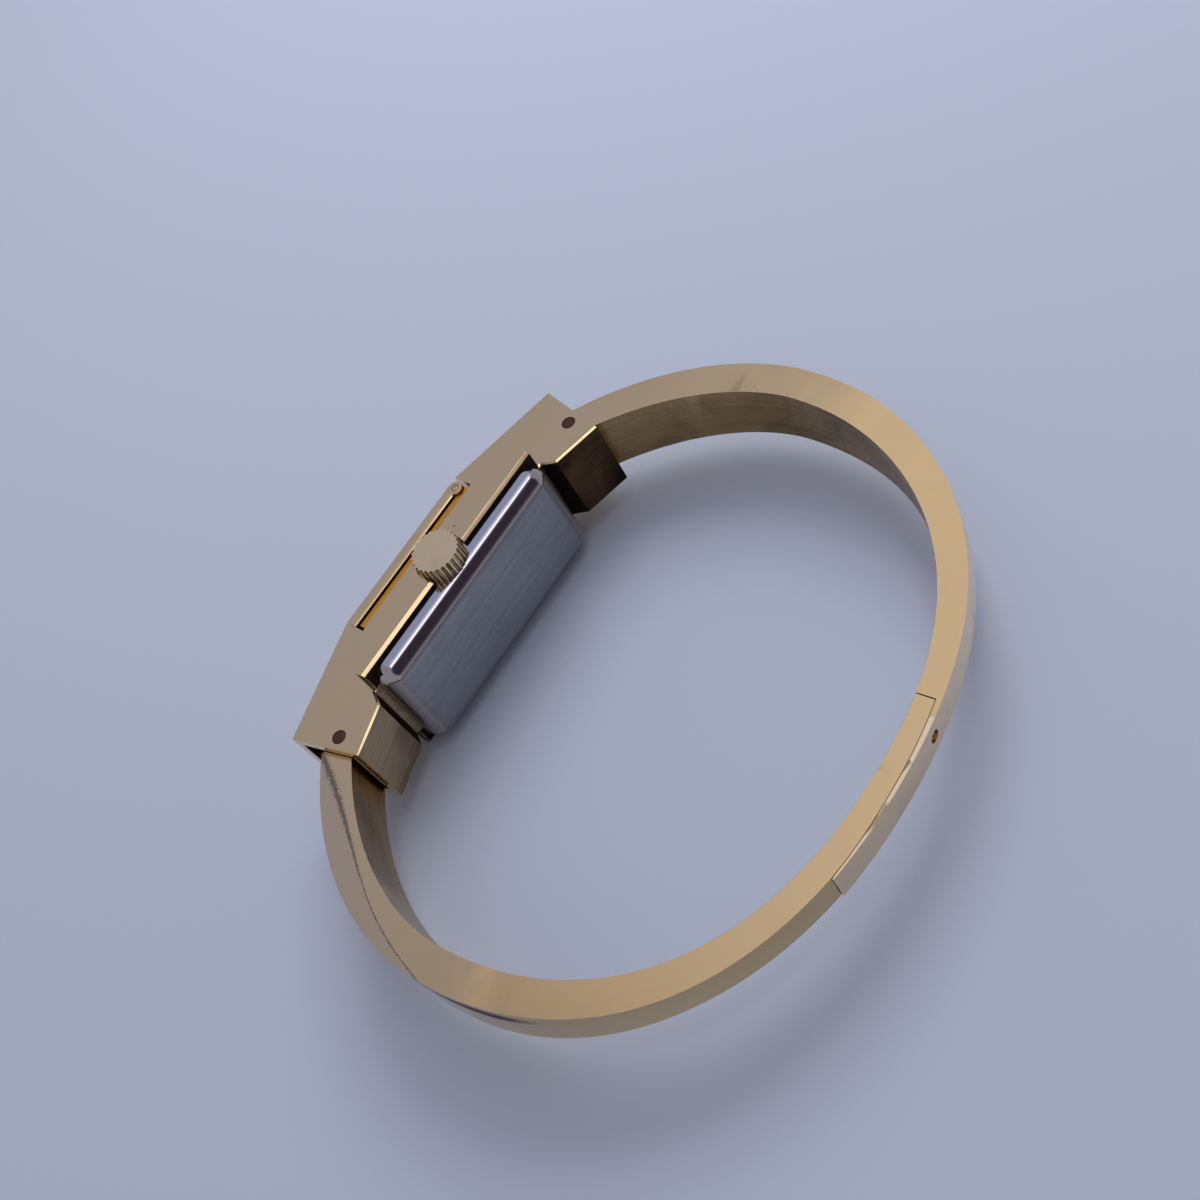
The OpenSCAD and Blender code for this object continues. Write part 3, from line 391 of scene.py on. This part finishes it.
def ring(form, come_in, y):
    """One closed row of edges round the back, so far in from its outside."""
    half_x = (back_high.x - back_low.x) / 2 - come_in
    half_z = (back_high.z - back_low.z) / 2 - come_in
    corner = max(BACK_CORNER_LEAST, BACK_CORNER - come_in)
    made = []
    for k, (side_x, side_z) in enumerate(((1, 1), (-1, 1), (-1, -1), (1, -1))):
        for i in range(CORNER_STEPS + 1):
            a = math.radians(90 * k + 90 * i / CORNER_STEPS)
            x = side_x * (half_x - corner) + corner * math.cos(a)
            z = side_z * (half_z - corner) + corner * math.sin(a)
            made.append(form.verts.new((back_mid.x + x, y, back_mid.z + z)))
    return [form.edges.new((made[i - 1], made[i])) for i in range(len(made))]


form = bmesh.new()
outside, inside = [], []
come_in, y = 0, BACK_RIM
for lean, length in BACK_PROFILE:
    across, along = math.sin(math.radians(lean)), math.cos(math.radians(lean))
    come_in += length * across
    y -= length * along
    outside.append(ring(form, come_in, y))
    inside.append(ring(form, come_in + BACK_WALL * along, y + BACK_WALL * across))
rows = outside[::-1] + inside
for row, following in zip(rows, rows[1:]):
    bmesh.ops.bridge_loops(form, edges=row + following)
for flat in (rows[0], rows[-1]):
    bmesh.ops.edgeloop_fill(form, edges=flat)
floor_y = y + BACK_WALL
x1, z1 = LIP_HALF
x0, z0 = x1 - LIP_WALL, z1 - LIP_WALL
for left, right, low, high in ((-x1, -x0, -z1, z1), (x0, x1, -z1, z1), (-x0, x0, -z1, -z0),
                               (-x0, -STEM_GAP, z0, z1), (STEM_GAP, x0, z0, z1)):
    size = Vector((right - left, back_high.y - floor_y, high - low))
    middle = Vector(((left + right) / 2, (back_high.y + floor_y) / 2,
                     back_mid.z + (low + high) / 2))
    bmesh.ops.create_cube(form, size=1, matrix=Matrix.LocRotScale(middle, None, size))
bmesh.ops.recalc_face_normals(form, faces=form.faces)
for face in form.faces:
    face.smooth = True
for e in form.edges:
    e.smooth = e.calc_face_angle() < math.radians(40)
mesh = bpy.data.meshes.new("case_back_shell")
form.to_mesh(mesh)
form.free()
shell = bpy.data.objects.new("case_back_shell", mesh)
bpy.context.scene.collection.objects.link(shell)


def brushed_face(centre, normal):
    return normal.y < BRUSHED_FROM


# The faces that get the painted dark reflection.
def painted_dark_face(centre, normal):
    return normal.z < PAINTED_DARK_UNDER


dress(settled(shell, "case_back"), steel_polish, "steel_back", (steel_brushed, brushed_face),
      (steel_painted_dark, painted_dark_face))

# Lug boxes: folded and soldered brass boxes at both ends of the head, open at their outer ends.
# A narrow bright flat runs along their lower edges. The undersides rub on the wrist and are dull,
# brown and scratched, the right one nearly black.
lug_brown = metal("brushed lug underside", lift=0.006 * MM, surface=brush,
                  Light=(0.54, 0.39, 0.23, 1), Dark=(0.10, 0.06, 0.035, 1), Smears=0.9,
                  Gloss=0.24)
lug_dark = metal("dark lug underside", lift=0.006 * MM, surface=brush,
                 Light=(0.13, 0.075, 0.035, 1), Dark=(0.015, 0.009, 0.005, 1), Smears=0.9,
                 Gloss=0.22)
LUG_EDGE = 0.06 * MM
LUG_FLAT = 0.22 * MM
LUG_FLAT_FROM = (10 * MM, 3.9 * MM)
HEEL_HIGH = 0.1 * MM
FLAT_SLOPE = 0.36
SHORT = 0.3 * MM


def tilted(form, size, chosen):
    """Cuts a narrow flat along chosen edges of the near and far faces, turned 20 degrees from them.

    It starts as an even bevel, and its corners on the side are then drawn towards the face."""
    heights = [v.co.z for v in form.verts]
    middle_z, half = (max(heights) + min(heights)) / 2, (max(heights) - min(heights)) / 2
    edges = []
    for e in form.edges:
        flat = [face for face in e.link_faces if abs(face.normal.z) > STRAIGHT]
        side = [face for face in e.link_faces if abs(face.normal.z) < LITTLE]
        if len(flat) == 1 and len(side) == 1 and e.calc_length() > SHORT \
                and chosen((e.verts[0].co + e.verts[1].co) / 2, side[0].normal):
            edges.append(e)
    made = bmesh.ops.bevel(form, geom=edges, offset=size, affect="EDGES", segments=1, profile=0.5,
                           material=-1, clamp_overlap=True)
    for v in {v for face in made["faces"] for v in face.verts}:
        depth = half - abs(v.co.z - middle_z)
        if CLOSE < depth < 1.1 * size:
            v.co.z += math.copysign((1 - FLAT_SLOPE) * depth, v.co.z - middle_z)


def under_lug(centre, normal):
    return normal.y < -LITTLE and abs(normal.z) < LITTLE


def on_heel(centre, normal):
    """The lug's end that faces the steel back."""
    return centre.y < BACK_RIM + HEEL_HIGH and normal.x * centre.x < -LITTLE * abs(centre.x)


def lower_edge(middle, side):
    return side.y < -LITTLE and abs(middle.x) > LUG_FLAT_FROM[0] \
        and abs(middle.z - case_mid.z) > LUG_FLAT_FROM[1]


def lug_flats(form):
    tilted(form, LUG_FLAT, lower_edge)


# The lugs' ends beside the steel back are painted black as shadow.
for lug, underside in (("lug_right", lug_dark), ("lug_left", lug_brown)):
    dress(finished(lug, LUG_EDGE, least=15, reshape=lug_flats), gold_polish, "polished_gold",
          (gold_painted_shadow, on_heel), (underside, under_lug))

# Lug pins: turned brass pins, pressed through the lug boxes and the bangle's ends and filed flush.
# Their ends have lost the plating and gone dark.
PIN_BRONZE = (0.13, 0.075, 0.055, 1)
PIN_LIGHT = (0.34, 0.22, 0.17, 1)
PIN_EDGE = 0.1 * MM
pin_metal = metal("aged pin", Plate=PIN_BRONZE, Stain=PIN_LIGHT, Rub=PIN_BRONZE, Gloss=0.42,
                  Stains=0.8)
for pin in ("lug_pin_right", "lug_pin_left"):
    dress(finished(pin, PIN_EDGE), pin_metal, "hinge_pins")

# Bangle halves: two bent brass bars, flat on both sides, polished outside and brushed towards the
# wrist. They turn on the lug pins and narrow towards the clasp, where the right half's thin tongue
# laps over the left half and snaps over a domed stud.
gold_wrist = metal("brushed wrist side", lift=0.004 * MM, surface=brush,
                   Light=(0.50, 0.34, 0.16, 1), Dark=(0.16, 0.095, 0.045, 1), Smears=0.5,
                   Gloss=0.26)
# Painted reflection: a paler gold on the right half's outer side and on its tongue, standing in for
# bright surroundings that they reflect.
gold_painted_reflection = metal("outer side with painted reflection", Plate=(0.98, 0.78, 0.52, 1), Gloss=0.18)
pin_low, pin_high = [Vector(corner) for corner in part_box("lug_pin_right")]
pin_mid = (pin_low + pin_high) / 2
PIN_CLEAR = 2.4 * MM
# The outline is a superellipse: its half width and half height, its power and its middle
BAND = (30.7 * MM, 26.45 * MM)
BAND_POWER = 2.2
BAND_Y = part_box("bangle_right")[0][1] + 26.55 * MM
BAND_EDGE = 0.03 * MM
BAND_LONG_EDGE = 0.16 * MM
BAND_INNER_EDGE = 0.45 * MM
BAND_FLAT = 0.18 * MM
FACE_FROM = 1.2 * MM
INNER_TOP = BAND_Y + 9 * MM
WRIST_REACH = 31 * MM
WRIST_LEAN = 0.2
ROW_STEP = 4
STUD_EDGE = 0.02 * MM
# How far from the outline the outer and inner edges lie, counted outwards
OUTER = -0.6 * MM
INNER = -1.2 * MM
TONGUE = (-8.4 * MM, 7 * MM)
TONGUE_BEND = 0.7 * MM
TONGUE_IN = -0.5 * MM
# Where the line between the halves has its corners, and how far the slant moves them
INNER_CORNER_X = 6.3 * MM
INNER_CORNER_MOVE = Vector((1 * MM, 0.16 * MM, 0))
ROOT_CORNER_X = 6.95 * MM
ROOT_CORNER_IN = (-0.7 * MM, -0.2 * MM)
ROOT_CORNER_MOVE = Vector((0.6 * MM, 0.1 * MM, 0))
CORNER_REACH = 0.25 * MM


def beyond(point):
    """How far a point lies outside the bangle's outline, near the clasp."""
    reach = abs(point.x / BAND[0]) ** BAND_POWER + abs((point.y - BAND_Y) / BAND[1]) ** BAND_POWER
    return (reach - 1) * BAND[1] / BAND_POWER


def from_pin(point):
    return Vector((abs(point.x) - pin_mid.x, point.y - pin_mid.y)).length


def on_tongue(point):
    return point.x < TONGUE[1] + TONGUE_BEND and point.y < BAND_Y and beyond(point) > TONGUE_IN


def outer_edge(middle, side):
    return beyond(middle) > OUTER and from_pin(middle) > PIN_CLEAR \
        and side.dot(Vector((middle.x, middle.y - BAND_Y, 0))) > 0 \
        and not (on_tongue(middle) and middle.x > TONGUE[0])


def sliced(form, point, direction):
    bmesh.ops.bisect_plane(form, geom=form.verts[:] + form.edges[:] + form.faces[:],
                           dist=0.001 * MM, plane_co=point, plane_no=direction)


def recut(form):
    """Crosses both faces with even rows, sets the line between the halves at its slant, and cuts
    the bright flats along the outer edges."""
    crossing = [e for e in form.edges if e.is_manifold and e.calc_face_angle() < math.radians(4)
                and all(abs(face.normal.z) > STRAIGHT for face in e.link_faces)]
    bmesh.ops.dissolve_edges(form, edges=crossing, use_verts=True)
    for degrees in range(1, 180, ROW_STEP):
        a = math.radians(degrees)
        sliced(form, (0, BAND_Y, 0), (math.cos(a), math.sin(a), 0))
    for v in [v for v in form.verts if v.co.y < BAND_Y]:
        out = beyond(v.co)
        if abs(v.co.x - INNER_CORNER_X) < CORNER_REACH and out < INNER:
            v.co += INNER_CORNER_MOVE
        elif abs(v.co.x - ROOT_CORNER_X) < CORNER_REACH \
                and ROOT_CORNER_IN[0] < out < ROOT_CORNER_IN[1]:
            v.co += ROOT_CORNER_MOVE
    tilted(form, BAND_FLAT, outer_edge)


def long_edge(a, b):
    """The edges of the near and far faces, all but the outer ones."""
    middle = (a + b) / 2
    return abs(middle.z - case_mid.z) > FACE_FROM and abs(a.z - b.z) < SHORT \
        and from_pin(middle) > PIN_CLEAR and beyond(middle) < OUTER


def inner_edge(a, b):
    middle = (a + b) / 2
    return long_edge(a, b) and middle.y < INNER_TOP and beyond(middle) < INNER \
        and middle.z > case_mid.z


def wrist_side(centre, normal):
    flat = Vector((centre.x, centre.y, 0))
    return abs(normal.z) < WRIST_LEAN and normal.dot(flat.normalized()) < -LITTLE \
        and flat.length < WRIST_REACH


# The outer side, which gets the painted reflection.
def outer_side(centre, normal):
    return abs(normal.z) < LITTLE and normal.dot(Vector((centre.x, centre.y - BAND_Y, 0))) > 0


# The tongue's near side, which gets the painted reflection.
def tongue_side(centre, normal):
    return abs(normal.z) > HALFWAY and on_tongue(centre)


# The left half's plate has a bent dark smear on its near face. On one side of the smear the gold is
# painted cooler as a painted reflection, and its outer side has a dark blue-black patch painted
# as a reflection of the shade on the floor.
SMEAR_DARK = (0.07, 0.06, 0.06, 1)
COOL_REFLECTION_GOLD = (0.60, 0.50, 0.36, 1)
DARK_FLOOR_REFLECTION = (0.04, 0.04, 0.065, 1)
SMEAR_START = (-20.65 * MM, 18.05 * MM, 0)
SMEAR_ALONG = (-0.467, -0.884, 0)
SMEAR_ACROSS = (0.884, -0.467, 0)
SMEAR_LENGTH = 20.9
SMEAR_BEND = 1.6
SMEAR_TAPER = (0.05, 0.55, 0.42, 0.08)
SMEAR_SOFT = (0.3, 1.0, 0.7, 0.0)
FEATHER_GRAINS = 6000
FEATHERED = (0.35, 0.6, 0.3, 1.4)
COOL_SIDE = (-0.25, 0.25, 1.0, 0.0)
COOL_SHARE = 0.5
NEAR_FACE = (9.2 * MM, 9.28 * MM)
PATCH_MIDDLE = (-6.2 * MM, 8.3 * MM)
PATCH_HALF = (5.4 * MM, 0.9 * MM)
PATCH_SLOPE = 0.078
PATCH_SOFT = (0.3, 1.1, 0.9, 0.0)
PATCH_ROUGH = 0.45
PATCH_LEFT = (-25 * MM, -26 * MM)
PATCH_TOP = (9.3 * MM, 9.2 * MM)
gold_left = metal("gold plate with a smear and painted reflections")
tree = gold_left.node_tree
shader = tree.nodes["Principled BSDF"]
place = put(tree, "ShaderNodeTexCoord").outputs["Object"]
at = put(tree, "ShaderNodeSeparateXYZ", Vector=place).outputs


def distance_along(direction, start):
    """How far the place is from a point along a direction, both on the near face, in mm."""
    moved = put(tree, "ShaderNodeVectorMath", operation="SUBTRACT", _0=place, _1=start).outputs[0]
    dot = put(tree, "ShaderNodeVectorMath", operation="DOT_PRODUCT", _0=moved, _1=direction)
    return maths(tree, "MULTIPLY", dot.outputs["Value"], 1 / MM)


run = maths(tree, "DIVIDE", distance_along(SMEAR_ALONG, SMEAR_START), SMEAR_LENGTH)
bow = maths(tree, "MULTIPLY", maths(tree, "POWER", run, SMEAR_BEND), math.pi)
across = maths(tree, "ADD", distance_along(SMEAR_ACROSS, SMEAR_START),
               maths(tree, "SINE", bow, 0.0))
feather = spread(tree, noise(tree, place, FEATHER_GRAINS), *FEATHERED)
width = maths(tree, "MULTIPLY", spread(tree, run, *SMEAR_TAPER), feather)
line = maths(tree, "DIVIDE", maths(tree, "ABSOLUTE", across, 0.0), width)
near = spread(tree, at["Z"], *NEAR_FACE)
line = maths(tree, "MULTIPLY", spread(tree, line, *SMEAR_SOFT), near)
# Painted reflection: cooler gold on one side of the smear.
cool = maths(tree, "MULTIPLY", spread(tree, across, *COOL_SIDE), near)
plate = shader.inputs["Base Color"].links[0].from_socket
colour = mixed(tree, maths(tree, "MULTIPLY", cool, COOL_SHARE), plate, COOL_REFLECTION_GOLD)
colour = mixed(tree, line, colour, SMEAR_DARK)
# Painted reflection: a blue-black patch on the outer side, standing in for the shade on the floor
# that it reflects.
patch_y = maths(tree, "SUBTRACT", at["Y"], PATCH_MIDDLE[0])
patch_y = maths(tree, "DIVIDE", patch_y, PATCH_HALF[0])
patch_z = maths(tree, "SUBTRACT", at["Z"], maths(tree, "MULTIPLY", at["Y"], PATCH_SLOPE))
patch_z = maths(tree, "DIVIDE", maths(tree, "SUBTRACT", patch_z, PATCH_MIDDLE[1]), PATCH_HALF[1])
patch = maths(tree, "ADD", maths(tree, "MULTIPLY", patch_y, patch_y),
              maths(tree, "MULTIPLY", patch_z, patch_z))
patch = spread(tree, patch, *PATCH_SOFT)
patch = maths(tree, "MULTIPLY", patch, spread(tree, at["X"], *PATCH_LEFT))
patch = maths(tree, "MULTIPLY", patch, spread(tree, at["Z"], *PATCH_TOP))
tree.links.new(mixed(tree, patch, colour, DARK_FLOOR_REFLECTION), shader.inputs["Base Color"])
dull = maths(tree, "ADD", shader.inputs["Roughness"].links[0].from_socket,
             maths(tree, "MULTIPLY", patch, PATCH_ROUGH))
tree.links.new(dull, shader.inputs["Roughness"])

# The right half's outer side and tongue carry the painted reflection.
for half, near_gold, pale in (
        ("bangle_right", gold_polish, ((gold_painted_reflection, outer_side), (gold_painted_reflection, tongue_side))),
        ("bangle_left", gold_left, ())):
    piece = finished(half, BAND_EDGE, least=15, reshape=recut,
                     wider=((BAND_INNER_EDGE, inner_edge), (BAND_LONG_EDGE, long_edge)))
    dress(piece, near_gold, "polished_gold", (gold_wrist, wrist_side), *pale)
dress(finished("clasp_stud", STUD_EDGE), gold_polish, "polished_gold")

# Cover: a pressed tray over the dial, with a bright flat under each side. Its two knuckles turn on
# a pin, at both sides of the right lug's knuckle, and a small spring catch of steel sits inside its
# free end.
steel = metal("polished steel", Plate=STEEL, Stain=STEEL_DULL, Rub=STEEL, Gloss=0.15)
LID_EDGE = 0.07 * MM
LID_FLAT = 0.2 * MM
LID_SLOPE = 0.39
LID_GAP_CLOSED = 0.2 * MM
LID_TALL = 1.05 * MM
LID_LONG = 14.91 * MM
HINGE_PIN_EDGE = 0.05 * MM
lid_low, lid_high = [Vector(corner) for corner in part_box("cover_lid")]
lid_rim = lid_high.y - LID_TALL
lid_end = lid_low.x + LID_LONG


def reached(form):
    """Brings the cover's free end up to the left lug and turns the strips under its sides."""
    sliced(form, (lid_end, 0, 0), (1, 0, 0))
    sliced(form, (0, lid_rim + LID_FLAT, 0), (0, 1, 0))
    for v in form.verts:
        under = abs(v.co.y - lid_rim) < CLOSE and v.co.x < lid_end + CLOSE
        for side, into in ((lid_high.z, -1), (lid_low.z, 1)):
            if under and abs(v.co.z - side) < CLOSE:
                v.co.z += into * LID_SLOPE * LID_FLAT
        if v.co.x < lid_low.x + CLOSE:
            v.co.x -= LID_GAP_CLOSED


def coated(material, *nodes):
    """Gives small pieces, which keep the solids' own meshes, their finish."""
    for node in nodes:
        mesh = frame["nodes"][node].data
        mesh.materials.clear()
        mesh.materials.append(material)


dress(finished("cover_lid", LID_EDGE, least=15, reshape=reached), gold_polish, "polished_gold")
dress(finished("cover_hinge_pin", HINGE_PIN_EDGE), gold_polish, "polished_gold")
coated(steel, "cover_catch")

# Crown: a ribbed and plated brass crown on its stem, with the tube that guides it in the case.
# The grooves between its ribs are coloured dark brown.
crown_dull = metal("worn crown", Plate=(0.90, 0.70, 0.40, 1), Stains=0.6, Gloss=0.26)
crown_groove = metal("crown groove", Plate=(0.20, 0.13, 0.07, 1), Gloss=0.45)
CROWN_EDGE = 0.05 * MM
TUBE_EDGE = 0.03 * MM
RIB_OUTSIDE = 0.03 * MM
crown_low, crown_high = [Vector(corner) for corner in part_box("crown")]
crown_mid = (crown_low + crown_high) / 2
groove_r = (crown_high.x - crown_low.x) / 2 - RIB_OUTSIDE


def in_groove(centre, normal):
    from_axis = math.hypot(centre.x - crown_mid.x, centre.y - crown_mid.y)
    return abs(normal.z) < LITTLE and from_axis < groove_r


dress(finished("crown", CROWN_EDGE, 2), crown_dull, "polished_gold", (crown_groove, in_groove))
dress(finished("stem_tube", TUBE_EDGE), gold_polish, "polished_gold")

# Crystal: a low arched block of clear glass, polished and pressed into the case's collar over the
# dial.
CRYSTAL_EDGE = 0.06 * MM
glass = bpy.data.materials.new("crystal glass")
glass.use_nodes = True
shader = glass.node_tree.nodes["Principled BSDF"]
shader.inputs["Transmission Weight"].default_value = 1.0
shader.inputs["Roughness"].default_value = 0.02
shader.inputs["IOR"].default_value = 1.5
dress(finished("crystal", CRYSTAL_EDGE), glass, "crystal_clear")

# Dial and hands: a thin brass plate painted a satin cream, with gilt batons fixed on it. The two
# gilt hands are stamped and pressed onto the pipes in its middle.
dial_paint = metal("dial cream", Plate=(0.82, 0.76, 0.62, 1), Stain=(0.7, 0.6, 0.42, 1),
                   Gloss=0.4)
dial_paint.node_tree.nodes["Principled BSDF"].inputs["Metallic"].default_value = 0.0
gilt = metal("gilt brass", Plate=(0.8, 0.58, 0.25, 1), Gloss=0.2)
coated(dial_paint, "dial")
coated(gilt, "hour_markers", "hour_hand", "minute_hand")

# Movement: a small hand-wound one, with nickel plated plates and bridges, gilt brass wheels and
# steel arbors, springs and screws. A ring holds it in the case, over the steel back.
nickel = metal("nickel plate", Plate=(0.62, 0.6, 0.55, 1), Stain=(0.45, 0.42, 0.36, 1),
               Gloss=0.25)
coated(nickel, "movement_ring", "main_plate", "barrel_bridge", "train_bridge", "balance_cock")
coated(gilt, "mainspring_barrel", "centre_wheel", "third_wheel", "fourth_wheel", "balance_wheel",
       "minute_wheel", "hour_wheel")
coated(steel, "bridge_screws", "mainspring", "barrel_arbor", "ratchet_wheel", "crown_wheel",
       "escape_wheel", "pallet_fork", "hairspring", "cannon_pinion", "winding_pinion",
       "winding_stem", "setting_lever")

# The set: a plain pale floor under the watch, soft light from above and from the head's side, and
# the camera where the photograph was taken from.
FLOOR_PALE = (0.70, 0.79, 0.94, 1)
bpy.ops.mesh.primitive_plane_add(size=3)
floor = bpy.context.object
floor.name = "floor"
paper = bpy.data.materials.new("pale floor")
paper.use_nodes = True
shader = paper.node_tree.nodes["Principled BSDF"]
shader.inputs["Base Color"].default_value = FLOOR_PALE
shader.inputs["Roughness"].default_value = 0.8
floor.data.materials.append(paper)

world = bpy.data.worlds.new("soft room")
bpy.context.scene.world = world
world.use_nodes = True
tree = world.node_tree
sky = tree.nodes["Background"]
towards = put(tree, "ShaderNodeTexCoord").outputs["Generated"]


def glow(direction, inner, outer):
    """How near a direction is to a light's middle: 1 inside the inner angle, 0 past the outer."""
    dot = put(tree, "ShaderNodeVectorMath", operation="DOT_PRODUCT", _0=towards,
              _1=Vector(direction).normalized()).outputs["Value"]
    return put(tree, "ShaderNodeMapRange", Value=dot, From_Min=math.cos(math.radians(outer)),
               From_Max=math.cos(math.radians(inner)),
               interpolation_type="SMOOTHSTEP").outputs[0]


# The room's parts: the direction of the middle, its inner and outer angle, and its colour
WINDOW = ((0.30, 0.66, 0.69), 10, 30, (0.37, 0.40, 0.57, 1))
BRIGHT_SIDE = ((0.36, 0.26, 0.90), 3, 24, (0.70, 0.68, 0.75, 1))
CEILING = ((0.22, -0.05, 0.97), 5, 14, (1.7, 1.7, 1.8, 1))
SHADE = ((0.12, -0.72, 0.68), 16, 34, (0.045, 0.03, 0.045, 1))
colour = (0.32, 0.30, 0.34, 1)
for direction, inner, outer, tint in (WINDOW, BRIGHT_SIDE, CEILING, SHADE):
    colour = mixed(tree, glow(direction, inner, outer), colour, tint)
tree.links.new(colour, sky.inputs["Color"])
sky.inputs["Strength"].default_value = 1.0

LAMP_AT = Vector((0.22, 0.12, 0.22))
lamp = bpy.data.lights.new("window light", "AREA")
lamp.shape = "DISK"
lamp.size = 0.2
lamp.energy = 0.35
lamp.color = (0.97, 0.98, 1)
window = bpy.data.objects.new("window light", lamp)
bpy.context.scene.collection.objects.link(window)
window.location = LAMP_AT
window.rotation_euler = (-LAMP_AT).to_track_quat("-Z", "Y").to_euler()
window.visible_glossy = False

CAMERA_LENS = 46.78
CAMERA_AT = (-0.03163, -0.071397, 0.11103)
CAMERA_RIGHT = Vector((0.5504, -0.7477, -0.3715)).normalized()
CAMERA_FORWARD = Vector((0.2661, 0.5788, -0.7708)).normalized()
camera = bpy.data.objects.new("camera", bpy.data.cameras.new("camera"))
bpy.context.scene.collection.objects.link(camera)
camera.data.sensor_width = 36
camera.data.lens = CAMERA_LENS
camera.data.clip_start = 0.005
camera_up = CAMERA_RIGHT.cross(CAMERA_FORWARD)
turned = Matrix((CAMERA_RIGHT, camera_up, -CAMERA_FORWARD)).transposed().to_4x4()
camera.matrix_world = Matrix.Translation(CAMERA_AT) @ turned
bpy.context.scene.camera = camera
bpy.context.scene.view_settings.view_transform = "Standard"
